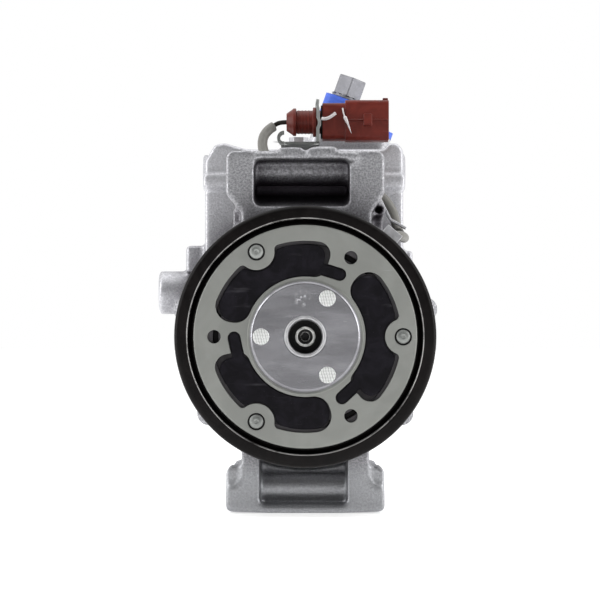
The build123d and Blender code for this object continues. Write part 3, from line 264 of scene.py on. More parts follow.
class PlugSettings(bpy.types.PropertyGroup):
    plastic: colour_setting("Plug", "Colour of the plug", (0.125, 0.018, 0.012))
    cap: colour_setting("Cap", "Colour of the port cap", (0.075, 0.150, 0.620))
    sleeve: colour_setting("Sleeve", "Colour of the lead's sleeve", (0.17, 0.165, 0.15))
    sleeve_radius: length_setting("Sleeve radius", "Outer radius of the sleeve", 0.0022)
    lead_radius: length_setting("Lead radius", "Radius of the lead", 0.0010)


# --- Finishes -------------------------------------------------------------------------------------

def cast_aluminium(name, settings, tone, contrast):
    """Blasted casting: fine speckled grain, soft clouds, painted shade in the upper lugs' hollows,
    and painted light on the foot and on outside edges."""
    finish = Finish(name)
    height_above_shaft = finish.axes()[2]
    upper = height_above_shaft.step(-0.030, 0.045)
    washed = height_above_shaft.step(-0.050, -0.062)
    clouds = finish.noise(75.0, 4.0, 0.6)
    grain = finish.noise(1150.0, 3.0, 0.75)
    dimples = finish.cells(900.0)
    bare = finish.hollows(0.026)
    # Painted shade: hollows found by occlusion, kept to the upper lugs by height, take the painted pocket
    # shade colour.
    open_face = bare.step(0.30, 0.95).most((1.0 - upper) * 0.72)
    speckle = grain.step(0.36, 0.66)
    light = shade(settings.colour, (1.0 + 0.26 * contrast) * tone)
    dark = shade(settings.colour, (1.0 - 0.42 * contrast) * tone)
    skin = finish.mix(speckle * 0.72 + clouds * 0.28, dark, light)
    # Painted light: the foot, lowest by height, is painted brighter.
    skin = finish.mix(washed * 0.55, skin, (0.60, 0.615, 0.635, 1.0))
    skin = finish.mix(open_face, shade(settings.hollow_colour, 1.0), skin)
    # Painted highlight: outside edges, found by pointiness, are painted lighter.
    skin = finish.mix(finish.edges(0.54, 0.66) * 0.25, skin, shade(settings.colour, 1.25))
    height = grain * 0.8 + dimples * 0.5 + clouds * 0.4
    return finish.done({"Base Color": skin, "Metallic": 0.88,
                        "Roughness": 0.52 - speckle * 0.14 + (1.0 - open_face) * 0.12,
                        "Normal": finish.bump(height, settings.grain, 0.85)})


def pulley_coat(settings):
    """Black dip coat: faint orange peel, dust specks, a wiped gloss and a painted highlight ring
    at the rim's inner edge.
    """
    finish = Finish("pulley_black")
    peel = finish.noise(420.0, 2.0)
    wiped = finish.noise(90.0, 3.0, 0.6, distortion=1.2)
    dust = finish.cells(330.0).step(0.035, 0.015)
    tint = finish.mix(wiped.step(0.35, 0.75), shade(settings.coat, 0.8), shade(settings.coat, 1.7))
    tint = finish.mix(dust * 0.3, tint, (0.22, 0.20, 0.19, 1.0))
    radius, _, along = finish.turned_place()
    # Painted highlight: a thin bright metallic ring at the rim's inner edge on the front face.
    worn = radius.step(0.0492, 0.0495) * radius.step(0.0500, 0.0497) * along.step(-0.0130, -0.0134)
    tint = finish.mix(worn * wiped.step(0.2, 0.6) * 0.75, tint, (0.46, 0.45, 0.44, 1.0))
    return finish.done({"Base Color": tint, "Metallic": worn * 0.8, "Specular IOR Level": 0.09,
                        "Roughness": 0.25 + wiped * 0.16 + dust * 0.3,
                        "Coat Weight": 0.03, "Coat Roughness": 0.14,
                        "Normal": finish.bump(peel, 0.00006, 0.5)})


def plate_zinc(settings):
    """Bright zinc plate: greyer shiny crown with smears and painted reflections, hairline scratches,
    small marks and painted shade on the cut walls.
    """
    finish = Finish("plate_zinc")
    radius, angle, along = finish.turned_place()
    crown = radius.step(0.0238, 0.0228)
    clouds = finish.noise(55.0, 4.0, 0.55, distortion=0.8)
    smear = finish.noise(1.0, 3.0, 0.6, place=finish.stretched((30.0, 30.0, 130.0), (0.0, 0.5, 0.0)))
    haze = finish.noise(700.0, 3.0, 0.7)
    lines = finish.noise(1.0, 2.0, 0.5, place=finish.stretched((40.0, 40.0, 2600.0), (0.0, 0.9, 0.0)))
    scratch = lines.step(0.69, 0.74) * clouds.step(0.52, 0.66)
    turned = finish.noise(1.0, 2.0, 0.5, place=finish.combined(radius * 2400.0, angle * 1.5, 0.0))
    flat_tone = finish.mix(clouds.step(0.3, 0.7), shade(settings.zinc, 0.93), shade(settings.zinc, 1.07))
    # Smears and painted reflection: broad stretched patches swing the crown's tone lighter and darker.
    crown_tone = finish.mix(smear.step(0.3, 0.7), shade(settings.crown, 0.78), shade(settings.crown, 1.22))
    tone = finish.mix(crown, flat_tone, crown_tone)
    tone = finish.mix(scratch * 0.4, tone, (0.52, 0.53, 0.52, 1.0))
    tone = finish.mix(haze.step(0.70, 0.80) * 0.35, tone, shade(settings.zinc, 0.55))
    x, _, z = finish.axes()
    dab = ((x + 0.0014) ** 2.0 + (z - 0.0158) ** 2.0) ** 0.5
    paint = dab.step(0.0046, 0.0010) * finish.noise(620.0, 3.0, 0.7).step(0.50, 0.58)
    tone = finish.mix(paint, tone, (0.62, 0.62, 0.65, 1.0))
    # Painted shade: all behind the plate's front face, the cut walls of its windows and holes, is painted
    # near black.
    cut_wall = along.step(-0.01375, -0.01330)
    tone = finish.mix(cut_wall, tone, shade(settings.zinc, 0.07))
    rough = 0.40 + clouds * 0.10 - crown * (0.16 + smear * 0.08) + scratch * 0.2
    height = haze * 0.4 + turned * crown * 0.3 + scratch * -0.6
    return finish.done({"Base Color": tone, "Metallic": 0.72 + crown * 0.2, "Roughness": rough,
                        "Normal": finish.bump(height, 0.00002, 0.6)})


def machined_steel(name, colour, rough, lines=1700.0):
    """Turned or ground steel: rings about the shaft axis, stains and a fine haze."""
    finish = Finish(name)
    radius, angle, along = finish.turned_place()
    rings = finish.noise(1.0, 3.0, 0.6,
                         place=finish.combined(radius * lines, angle * 0.8, along * lines))
    stain = finish.noise(85.0, 3.0, 0.6)
    haze = finish.noise(1200.0, 2.0, 0.6)
    tone = finish.mix(rings.step(0.25, 0.75), shade(colour, 0.82), shade(colour, 1.12))
    tone = finish.mix(stain.step(0.55, 0.80) * 0.35, tone, shade(colour, 0.6))
    height = rings * 0.7 + haze * 0.3
    return finish.done({"Base Color": tone, "Metallic": 1.0,
                        "Roughness": rough + stain * 0.14 + rings * 0.06,
                        "Normal": finish.bump(height, 0.00003, 0.5)})


def plated_steel(name, colour, rough):
    """Zinc-plated pressing or screw: patchy bloom, pickled grain and bright scuffs."""
    finish = Finish(name)
    bloom = finish.noise(160.0, 4.0, 0.6, distortion=0.6)
    grain = finish.noise(1900.0, 2.0, 0.7)
    scuff = finish.noise(1.0, 2.0, 0.5, place=finish.stretched((300.0, 300.0, 2200.0), (0.3, 0.8, 0.2)))
    tone = finish.mix(bloom.step(0.3, 0.7), shade(colour, 0.80), shade(colour, 1.15))
    tone = finish.mix(scuff.step(0.66, 0.74) * 0.5, tone, shade(colour, 1.4))
    return finish.done({"Base Color": tone, "Metallic": 0.9,
                        "Roughness": rough + bloom * 0.18 + grain * 0.06,
                        "Normal": finish.bump(grain * 0.6 + bloom * 0.6, 0.00004, 0.6)})


def hatched_rivet(name, colour):
    """Bright rivet head with the crossed bars that the riveting punch leaves."""
    finish = Finish(name)
    x, _, z = finish.axes()
    wander = finish.noise(900.0, 2.0) * 0.9
    bars = (z * 5200.0 + wander).sine().size().step(0.12, 0.40)
    posts = ((x + z * 0.25) * 2900.0 + wander * 2.0).sine().size().step(0.08, 0.26)
    raised = bars * posts
    tone = finish.mix(raised, shade(colour, 0.25), shade(colour, 1.30))
    return finish.done({"Base Color": tone, "Metallic": 0.6, "Roughness": 0.52 - raised * 0.1,
                        "Normal": finish.bump(raised, 0.00012, 0.9)})


def dark_in_bore(name, colour):
    """Turned hub: a bright lip round a bore left black with oil, streaked along its turning."""
    finish = Finish(name)
    radius, angle, _ = finish.turned_place()
    streak = finish.noise(1.0, 3.0, 0.6, place=finish.combined(radius * 2600.0, angle * 3.0, 0.0))
    stain = finish.noise(260.0, 3.0, 0.6)
    lip = radius.step(0.0068, 0.0073)
    tone = finish.mix(streak.step(0.3, 0.7), shade(colour, 0.82), shade(colour, 1.15))
    tone = finish.mix(lip, finish.mix(stain, (0.003, 0.003, 0.003, 1.0), (0.010, 0.009, 0.010, 1.0)), tone)
    return finish.done({"Base Color": tone, "Metallic": 0.85 * lip, "Roughness": 0.30 + stain * 0.2,
                        "Specular IOR Level": 0.12,
                        "Normal": finish.bump(streak, 0.00002, 0.5)})


def black_bolt(name):
    """Blackened bolt head whose chamfer and dimple are rubbed bright in arcs."""
    finish = Finish(name)
    radius, _, _ = finish.turned_place()
    wear = finish.noise(420.0, 2.0, 0.6)
    chamfer = radius.step(0.0031, 0.0033) * radius.step(0.0043, 0.0041)
    dimple = radius.step(0.0016, 0.00175) * radius.step(0.0021, 0.0020)
    rubbed = chamfer * wear.step(0.22, 0.46) + dimple * wear.step(0.38, 0.60) * 0.5
    tone = finish.mix(rubbed, (0.006, 0.006, 0.006, 1.0), (0.95, 0.95, 0.92, 1.0))
    return finish.done({"Base Color": tone, "Metallic": rubbed * 0.5, "Roughness": 0.34 + wear * 0.15,
                        "Specular IOR Level": 0.15,
                        "Normal": finish.bump(wear, 0.00003, 0.5)})


def moulded(name, colour, rough, spot=0.25, peel=900.0):
    """Moulded plastic: faint flow clouds, fine texture, dust and rubbed highs."""
    finish = Finish(name)
    flow = finish.noise(120.0, 3.0, 0.55, distortion=1.5)
    texture = finish.noise(peel, 3.0, 0.6)
    dust = finish.cells(520.0).step(0.05, 0.02)
    rub = finish.noise(1.0, 3.0, 0.6, place=finish.stretched((90.0, 600.0, 600.0), (0.0, 0.15, 0.1)))
    tone = finish.mix(flow.step(0.3, 0.75), shade(colour, 0.82), shade(colour, 1.2))
    tone = finish.mix(dust * spot, tone, (0.55, 0.5, 0.48, 1.0))
    tone = finish.mix(rub.step(0.64, 0.80) * spot * 0.6, tone, (0.5, 0.42, 0.40, 1.0))
    return finish.done({"Base Color": tone, "Roughness": rough + flow * 0.12 + dust * 0.2,
                        "Specular IOR Level": 0.22, "Coat Weight": 0.03, "Coat Roughness": 0.3,
                        "Normal": finish.bump(texture, 0.00004, 0.6)})


def rubber(name, colour, rough):
    """Bonded rubber: soft bloom, wiping streaks that are partly a painted bluish sheen,
    and talc in the corners.
    """
    finish = Finish(name)
    bloom = finish.noise(140.0, 4.0, 0.6, distortion=1.0)
    wipe = finish.noise(1.0, 3.0, 0.6, place=finish.stretched((60.0, 60.0, 420.0), (0.0, -0.7, 0.0)))
    skin = finish.noise(1600.0, 2.0, 0.6)
    flecks = finish.cells(480.0).step(0.07, 0.02)
    tone = finish.mix(bloom.step(0.35, 0.8), shade(colour, 0.7), shade(colour, 1.9))
    # Wiping streaks and painted sheen: stretched streaks lighten the black towards a bluish grey.
    tone = finish.mix(wipe.step(0.60, 0.85) * 0.10, tone, (0.30, 0.29, 0.32, 1.0))
    tone = finish.mix(flecks * 0.10, tone, (0.4, 0.4, 0.42, 1.0))
    return finish.done({"Base Color": tone, "Roughness": rough + bloom * 0.2 + wipe * 0.08,
                        "Specular IOR Level": 0.08, "Coat Weight": 0.02, "Coat Roughness": 0.3,
                        "Normal": finish.bump(skin + bloom, 0.00003, 0.6)})


def braided(name, colour):
    """Extruded sleeve: fine lengthwise streaks round the lead, and scuffs."""
    finish = Finish(name)
    around_map = finish.node("ShaderNodeUVMap").outputs[0]
    streak = finish.noise(1.0, 3.0, 0.6, place=finish.node(
        "ShaderNodeMapping", {}, {"Vector": around_map, "Scale": (60.0, 3.0, 1.0)}).outputs[0])
    cloud = finish.noise(220.0, 3.0, 0.6)
    tone = finish.mix(streak.step(0.3, 0.7), shade(colour, 0.84), shade(colour, 1.16))
    tone = finish.mix(cloud.step(0.55, 0.8) * 0.3, tone, shade(colour, 0.6))
    return finish.done({"Base Color": tone, "Roughness": 0.36 + cloud * 0.2,
                        "Normal": finish.bump(streak * 0.6 + cloud * 0.6, 0.00005, 0.6)})


finishes = {}


def make_finishes():
    """Every material slot of the record gets its own procedural finish."""
    scene = bpy.context.scene
    clutch = scene.compressor_clutch
    plug = scene.compressor_plug
    castings = scene.compressor_castings
    # Painted light and shade: one aluminium in two copies, the rear castings lifted by the tone 1.06 and
    # the front housing painted darker by 0.70 with more contrast.
    finishes["cast_aluminium"] = cast_aluminium("cast_aluminium", castings, 1.06, 0.55)
    finishes["front_casting"] = cast_aluminium("front_casting", castings, 0.70, 1.15)
    finishes["pulley_black"] = pulley_coat(clutch)
    finishes["plate_zinc"] = plate_zinc(clutch)
    finishes["damper_rubber"] = rubber("damper_rubber", clutch.rubber, 0.34)
    finishes["seal_rubber"] = rubber("seal_rubber", (0.016, 0.016, 0.017), 0.5)
    finishes["rivet_steel"] = plated_steel("rivet_steel", (0.25, 0.26, 0.25), 0.32)
    finishes["hatched_rivet"] = hatched_rivet("hatched_rivet", (0.62, 0.63, 0.62))
    finishes["bearing_steel"] = machined_steel("bearing_steel", (0.56, 0.56, 0.57), 0.16)
    # Partly painted shade: the leaf springs are black-painted, and their near-black tone also stands in
    # for the shade in the window gaps.
    finishes["spring_steel"] = machined_steel("spring_steel", (0.040, 0.038, 0.040), 0.45, 500.0)
    finishes["coil_steel"] = machined_steel("coil_steel", (0.30, 0.29, 0.28), 0.38, 900.0)
    # Partly painted shade: the armature's dark tone also stands in for the shade seen through the sight
    # holes.
    finishes["armature_steel"] = machined_steel("armature_steel", (0.10, 0.095, 0.10), 0.40, 1500.0)
    finishes["piston_aluminium"] = machined_steel("piston_aluminium", (0.70, 0.70, 0.71), 0.28, 1300.0)
    finishes["dark_steel"] = plated_steel("dark_steel", (0.11, 0.105, 0.11), 0.26)
    finishes["zinc_steel"] = plated_steel("zinc_steel", (0.58, 0.58, 0.60), 0.30)
    finishes["bolt_zinc"] = plated_steel("bolt_zinc", (0.27, 0.27, 0.29), 0.42)
    finishes["hub_lip"] = dark_in_bore("hub_lip", (0.46, 0.46, 0.47))
    finishes["black_bolt"] = black_bolt("black_bolt")
    finishes["bracket_zinc"] = plated_steel("bracket_zinc", (0.33, 0.34, 0.33), 0.36)
    finishes["tin_brass"] = plated_steel("tin_brass", (0.72, 0.66, 0.50), 0.24)
    finishes["gasket"] = moulded("gasket", (0.045, 0.050, 0.055), 0.55, 0.1)
    finishes["connector_plastic"] = moulded("connector_plastic", plug.plastic, 0.30)
    finishes["cap_blue"] = moulded("cap_blue", plug.cap, 0.38, 0.12)
    finishes["tie_white"] = moulded("tie_white", (0.72, 0.68, 0.68), 0.35, 0.1)
    finishes["lead_insulation"] = rubber("lead_insulation", (0.022, 0.020, 0.017), 0.38)
    finishes["sleeve_grey"] = braided("sleeve_grey", plug.sleeve)


# --- Mesh building --------------------------------------------------------------------------------

def held(piece, slot, body, replaced=(), finish=None):
    """Give a piece its finish, chosen by name or else by its slot, and its body, and hide the CAD nodes
    that it stands for.
    """
    piece.data.materials.clear()
    piece.data.materials.append(finishes[finish or slot])
    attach(piece, body)
    if replaced:
        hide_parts(*replaced)
    return piece


def tidy_mesh(mesh, merge, flatten=0.0):
    """Merge doubled points, which closes seams and poles, and join flat neighbours."""
    shell = bmesh.new()
    shell.from_mesh(mesh)
    bmesh.ops.remove_doubles(shell, verts=shell.verts, dist=merge)
    bmesh.ops.dissolve_degenerate(shell, edges=shell.edges, dist=merge)
    if flatten:
        bmesh.ops.dissolve_limit(shell, angle_limit=flatten, verts=shell.verts, edges=shell.edges)
    shell.to_mesh(mesh)
    shell.free()


def new_object(name, mesh):
    """Put a mesh in the scene as an object at the origin."""
    piece = bpy.data.objects.new(name, mesh)
    bpy.context.scene.collection.objects.link(piece)
    return piece


def grid_mesh(name, points, wrap_rows=True, wrap_columns=False, place=None, map_size=None):
    """Surface through a grid of points; faces run between neighbouring rows and columns."""
    rows, columns = points.shape[:2]
    number = np.arange(rows * columns).reshape(rows, columns)
    down = np.roll(number, -1, 0) if wrap_rows else number[1:]
    here = number if wrap_rows else number[:-1]
    if wrap_columns:
        here, down = (np.concatenate([grid, grid[:, :1]], 1) for grid in (here, down))
    corners = np.stack([here[:, :-1], here[:, 1:], down[:, 1:], down[:, :-1]], -1).reshape(-1, 4)
    flat = points.reshape(-1, 3)
    if place is not None:
        turn = np.array(place.to_3x3())
        flat = flat @ turn.T + np.array(place.translation)
    mesh = bpy.data.meshes.new(name)
    mesh.from_pydata(flat.tolist(), [], corners.tolist())
    if map_size is not None:
        layer = mesh.uv_layers.new(name="UVMap")
        spots = np.stack(np.meshgrid(np.linspace(0, map_size[0], rows),
                                     np.linspace(0, map_size[1], columns), indexing="ij"), -1)
        layer.data.foreach_set("uv", spots.reshape(-1, 2)[corners.reshape(-1)].reshape(-1))
    return mesh


def finished(name, mesh, sharp_angle=40.0, merge=1e-6):
    """Close a new mesh, turn its faces outwards and shade it smooth up to an angle."""
    tidy_mesh(mesh, merge)
    shell = bmesh.new()
    shell.from_mesh(mesh)
    bmesh.ops.recalc_face_normals(shell, faces=shell.faces)
    shell.to_mesh(mesh)
    shell.free()
    mesh.shade_smooth()
    mesh.set_sharp_from_angle(angle=math.radians(sharp_angle))
    return new_object(name, mesh)


def rounded(corners, steps=5):
    """Profile through (radius, along, rounding) corners: each corner gives way to a circular arc
    that touches both of its sides, at rounding / tan(half the corner's angle) from it."""
    points = [np.array(corners[0][:2], float)]
    for before, corner, after in zip(corners, corners[1:], corners[2:]):
        here = np.array(corner[:2], float)
        first = np.array(before[:2], float) - here
        second = np.array(after[:2], float) - here
        first, second = first / np.linalg.norm(first), second / np.linalg.norm(second)
        half = 0.5 * math.acos(float(np.clip(first @ second, -1.0, 1.0)))
        if corner[2] <= 0.0 or half > 1.55:
            points.append(here)
            continue
        middle = first + second
        centre = here + middle / np.linalg.norm(middle) * corner[2] / math.sin(half)
        start = here + first * corner[2] / math.tan(half) - centre
        end = here + second * corner[2] / math.tan(half) - centre
        for share in np.linspace(0.0, 1.0, steps):
            arm = start * (1.0 - share) + end * share
            points.append(centre + arm / np.linalg.norm(arm) * corner[2])
    points.append(np.array(corners[-1][:2], float))
    return np.array(points) * MM


def turned_mesh(name, corners, segments=96, place=None, closed=False, steps=5):
    """Profile swept round the Y axis: point = (r(v) cos u, y(v), r(v) sin u)."""
    profile = rounded(corners, steps)
    angle = np.linspace(0.0, 2.0 * math.pi, segments, endpoint=False)[:, None]
    radius, along = profile[None, :, 0], profile[None, :, 1]
    points = np.stack([radius * np.cos(angle), along + 0.0 * angle, radius * np.sin(angle)], -1)
    return grid_mesh(name, points, wrap_columns=closed, place=place)


def hexagon_mesh(name, flats, corners, segments=192, place=None):
    """Turned profile whose radius is held inside a hexagon: r(u, v) is the least of the profile's
    radius and flats / 2 / cos(angle from the nearest flat's middle), where the profile says so."""
    profile = rounded([corner[:3] for corner in corners])
    angle = np.linspace(0.0, 2.0 * math.pi, segments, endpoint=False)[:, None]
    off_flat = np.mod(angle + math.pi / 6.0, math.pi / 3.0) - math.pi / 6.0
    limit = flats * 0.5 * MM / np.cos(off_flat)
    in_hexagon = profile[None, :, 0] <= 1.25 * flats * 0.5 * MM
    radius = np.where(in_hexagon, np.minimum(profile[None, :, 0], limit), profile[None, :, 0])
    along = profile[None, :, 1] + 0.0 * angle
    points = np.stack([radius * np.cos(angle), along, radius * np.sin(angle)], -1)
    return grid_mesh(name, points, place=place)


def frames_along(path):
    """Tangent and two square directions at each point of a path, carried without twist."""
    tangent = np.gradient(path, axis=0)
    tangent /= np.linalg.norm(tangent, axis=1)[:, None]
    side = np.empty_like(path)
    side[0] = np.cross(tangent[0], (0.0, 0.3, 1.0))
    side[0] /= np.linalg.norm(side[0])
    for index in range(1, len(path)):
        carried = side[index - 1] - tangent[index] * (side[index - 1] @ tangent[index])
        side[index] = carried / np.linalg.norm(carried)
    return tangent, side, np.cross(tangent, side)


def tube_mesh(name, path, radius, wall=None, segments=32):
    """Tube: point = path(s) + r(s) (cos u side + sin u up). With a wall, the surface turns back
    inside at each end; without one, its ends close on the path."""
    tangent, side, up = frames_along(path)
    angle = np.linspace(0.0, 2.0 * math.pi, segments, endpoint=False)[:, None, None]
    rim = np.broadcast_to(radius, len(path))[None, :, None]
    outer = path[None] + rim * (np.cos(angle) * side[None] + np.sin(angle) * up[None])
    if wall is None:
        start = np.broadcast_to(path[0], (segments, 1, 3))
        end = np.broadcast_to(path[-1], (segments, 1, 3))
        points = np.concatenate([start, outer, end], 1)
    else:
        inner = path[None] + (rim - wall) * (np.cos(angle) * side[None] + np.sin(angle) * up[None])
        points = np.concatenate([outer, inner[:, ::-1]], 1)
    length = float(np.linalg.norm(np.diff(path, axis=0), axis=1).sum())
    return grid_mesh(name, points, wrap_columns=wall is not None,
                     map_size=(1.0, length / (2 * math.pi * float(np.max(radius)))))


def joined(name, meshes):
    """One mesh from several, with their maps."""
    shell = bmesh.new()
    for mesh in meshes:
        shell.from_mesh(mesh)
        bpy.data.meshes.remove(mesh)
    mesh = bpy.data.meshes.new(name)
    shell.to_mesh(mesh)
    shell.free()
    return mesh


def node_mesh(name, node):
    """A copy of a CAD node's triangles, merged into a closed shell."""
    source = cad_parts[node].data
    places = np.empty(len(source.vertices) * 3, np.float32)
    source.vertices.foreach_get("co", places)
    corners = np.empty(len(source.loops), np.int32)
    source.loops.foreach_get("vertex_index", corners)
    mesh = bpy.data.meshes.new(name)
    mesh.from_pydata(places.reshape(-1, 3).tolist(), [], corners.reshape(-1, 3).tolist())
    tidy_mesh(mesh, 2e-6)
    return mesh


def eased(node, width, slot, body, finish=None, segments=2, angle=34.0,
          flatten=True, clamp=False):
    """A CAD node with its sharp edges rounded, as pressing, moulding or tumbling leaves them;
    flat rings keep their triangles where joining them would close the hole, and clamp holds the
    rounding back where edges lie close together."""
    mesh = node_mesh(f"{node}_shell", node)
    if flatten:
        tidy_mesh(mesh, 2e-6, math.radians(0.3))
    mesh.shade_smooth()
    mesh.set_sharp_from_angle(angle=math.radians(angle))
    piece = new_object(f"{node}_shell", mesh)
    bevel = piece.modifiers.new("eased_edges", "BEVEL")
    bevel.width = width
    bevel.segments = segments
    bevel.limit_method = "ANGLE"
    bevel.angle_limit = math.radians(angle)
    bevel.use_clamp_overlap = clamp
    bevel.harden_normals = True
    bevel.miter_outer = "MITER_ARC"
    return held(piece, slot, body, (node,), finish)


def cast_skin(node, cell, passes):
    """A CAD node skinned with even cells and relaxed, which rounds every corner as sand or a die
    does; the result has no live modifier."""
    rough = new_object(f"{node}_rough", node_mesh(f"{node}_rough", node))
    skin = rough.modifiers.new("skin", "REMESH")
    skin.mode = "VOXEL"
    skin.voxel_size = cell
    relax = rough.modifiers.new("relax", "SMOOTH")
    relax.factor = 0.5
    relax.iterations = passes
    graph = bpy.context.evaluated_depsgraph_get()
    mesh = bpy.data.meshes.new_from_object(rough.evaluated_get(graph), depsgraph=graph)
    bpy.data.objects.remove(rough)
    mesh.name = f"{node}_cast"
    mesh.shade_smooth()
    return new_object(f"{node}_cast", mesh)


def moved(x, y, z, turn=0.0, axis="Y"):
    """Place in millimetres with a turn in degrees."""
    return Matrix.Translation(Vector((x, y, z)) * MM) @ Matrix.Rotation(math.radians(turn), 4, axis)


def spots_around(radius, angles):
    """Places (x, z) on a circle about the shaft axis."""
    return [(radius * math.cos(math.radians(angle)), radius * math.sin(math.radians(angle)))
            for angle in angles]


def nurbs_path(name, points, resolution=24):
    """Centreline of a smooth NURBS spline with the route's points as its control points."""
    curve = bpy.data.curves.new(name, "CURVE")
    curve.dimensions = "3D"
    spline = curve.splines.new("NURBS")
    spline.points.add(len(points) - 1)
    for point, place in zip(spline.points, points):
        point.co = (place[0] * MM, place[1] * MM, place[2] * MM, 1.0)
    spline.order_u = 3
    spline.use_endpoint_u = True
    spline.resolution_u = resolution
    carrier = bpy.data.objects.new(name, curve)
    bpy.context.scene.collection.objects.link(carrier)
    line = bpy.data.meshes.new_from_object(carrier)
    path = np.empty(len(line.vertices) * 3)
    line.vertices.foreach_get("co", path)
    bpy.data.objects.remove(carrier)
    bpy.data.meshes.remove(line)
    return path.reshape(-1, 3)


# --- Stage ----------------------------------------------------------------------------------------

def area_light(name, place, target, size, power, tint=(1.0, 1.0, 1.0)):
    """Soft rectangular light that faces its target."""
    data = bpy.data.lights.new(name, "AREA")
    data.shape = "RECTANGLE"
    data.size, data.size_y = size
    data.energy = power
    data.color = tint
    lamp = bpy.data.objects.new(name, data)
    bpy.context.scene.collection.objects.link(lamp)
    lamp.location = place
    lamp.rotation_euler = (Vector(target) - Vector(place)).to_track_quat("-Z", "Y").to_euler()


CAMERA_SHIFT = (-0.0088, 0.0612)
DARK_SIDE, PALE_SIDE = -0.95, 0.35
DARK_STRENGTH, PALE_STRENGTH = 0.26, 1.0


class MakeStage(bpy.types.Operator):
    """Camera, soft lights, pale surroundings and a pale floor under the feet"""

    bl_idname = "compressor.stage"
    bl_label = "Stage"

    def execute(self, context):
        settings = context.scene.compressor_stage
        camera_data = bpy.data.cameras.new("camera")
        camera_data.lens = settings.lens
        camera_data.sensor_width = 36.0
        camera_data.shift_x, camera_data.shift_y = CAMERA_SHIFT
        camera_data.clip_start = 0.05
        camera_data.clip_end = 60.0
        camera = bpy.data.objects.new("camera", camera_data)
        camera.location = (0.0, -settings.camera_distance, 0.0)
        camera.rotation_euler = (math.radians(90.0), 0.0, 0.0)
        context.scene.collection.objects.link(camera)
        context.scene.camera = camera

        floor_z = cad_box[0][2]
        half = settings.floor_size / 2
        corners = [(-half, -half, floor_z), (half, -half, floor_z), (half, half, floor_z),
                   (-half, half, floor_z)]
        floor_mesh = bpy.data.meshes.new("floor")
        floor_mesh.from_pydata(corners, [], [(0, 1, 2, 3)])
        floor = new_object("floor", floor_mesh)
        paint = Finish("floor_paint")
        mottle = paint.noise(3.0, 2.0)
        tone = paint.mix(mottle, (0.93, 0.93, 0.93, 1.0), (0.96, 0.96, 0.96, 1.0))
        floor_mesh.materials.append(paint.done({
            "Base Color": tone, "Roughness": 0.9, "Specular IOR Level": 0.1,
            "Emission Color": (1.0, 1.0, 1.0, 1.0), "Emission Strength": settings.floor_glow}))

        area_light("top_light", (0.0, 0.05, 1.1), (0.0, 0.06, 0.0), (1.6, 1.2), settings.top_light)
        area_light("left_light", (-1.1, -0.25, 0.35), (0.0, 0.0, 0.0), (0.35, 1.3),
                   settings.side_light)
        area_light("right_light", (1.1, -0.25, 0.35), (0.0, 0.0, 0.0), (0.35, 1.3),
                   settings.side_light)

        world = bpy.data.worlds.new("surroundings")
        world.use_nodes = True
        tree = world.node_tree
        background = tree.nodes["Background"]
        background.inputs[0].default_value = (1.0, 1.0, 1.0, 1.0)
        background.inputs[1].default_value = 1.0
        direction = tree.nodes.new("ShaderNodeTexCoord")
        parts = tree.nodes.new("ShaderNodeSeparateXYZ")
        rise = tree.nodes.new("ShaderNodeMapRange")
        rise.interpolation_type = "SMOOTHSTEP"
        limits = (DARK_SIDE, PALE_SIDE, DARK_STRENGTH, PALE_STRENGTH)
        for index, limit in enumerate(limits, start=1):
            rise.inputs[index].default_value = limit
        tree.links.new(direction.outputs["Generated"], parts.inputs[0])
        tree.links.new(parts.outputs[1], rise.inputs[0])
        tree.links.new(rise.outputs[0], background.inputs[1])
        context.scene.world = world
        context.scene.view_settings.view_transform = "Standard"
        context.scene.view_settings.look = "None"
        return {"FINISHED"}


# --- Lead ------------------------------------------------------------------------------------------

LEAD_ROUTE = [(2.0, 70.0, 96.0), (-5.0, 70.0, 96.0), (-11.0, 70.0, 96.0), (-13.4, 69.2, 94.9),
              (-16.1, 67.75, 92.8), (-18.0, 66.9, 91.6)]
SLEEVE_ROUTE = [
    (-14.2, 68.6, 94.0), (-18.0, 66.9, 91.6), (-19.6, 62.4, 85.0), (-16.4, 57.4, 77.6),
    (-8.6, 55.0, 71.8), (2.8, 54.6, 69.0), (14.6, 56.0, 67.8), (25.6, 57.4, 66.2),
    (34.0, 57.8, 62.4), (38.4, 57.4, 56.6), (40.0, 56.6, 50.4), (41.4, 53.4, 45.4),
    (43.8, 45.0, 43.0), (42.0, 35.0, 44.0), (37.0, 27.4, 43.6), (37.0, 18.2, 43.6),
]


class MakeLead(bpy.types.Operator):
    """Thin lead of the coil and the sleeve that it runs in, from the plug to the coil's gland"""

    bl_idname = "compressor.lead"
    bl_label = "Lead and sleeve"

    def execute(self, context):
        settings = context.scene.compressor_plug
        path = nurbs_path("sleeve_route", SLEEVE_ROUTE)
        share = np.linspace(0.0, 1.0, len(path))
        ripple = 1.0 + 0.006 * np.sin(share * 230.0) + 0.008 * np.sin(share * 61.0)
        sleeve = tube_mesh("lead_sleeve_tube", path, settings.sleeve_radius * ripple,
                           wall=0.6 * MM, segments=40)
        held(finished("lead_sleeve_tube", sleeve), "sleeve_grey", "housing", ("lead_sleeve",))
        lead = tube_mesh("coil_lead_wire", nurbs_path("lead_route", LEAD_ROUTE),
                         settings.lead_radius, segments=28)
        held(finished("coil_lead_wire", lead), "lead_insulation", "housing", ("coil_lead",))
        return {"FINISHED"}


# --- Castings ---------------------------------------------------------------------------------------

class MakeCastings(bpy.types.Operator):
    """Front housing, cylinder block and rear head, with the rounded corners of castings"""

    bl_idname = "compressor.castings"
    bl_label = "Castings"

    def execute(self, context):
        settings = context.scene.compressor_castings
        for node in ("front_housing", "cylinder_block", "rear_head"):
            skin = cast_skin(node, settings.softness, 3)
            finish = "front_casting" if node == "front_housing" else "cast_aluminium"
            held(skin, "cast_aluminium", "housing", (node,), finish)
        return {"FINISHED"}


# --- Clutch ------------------------------------------------------------------------------------------

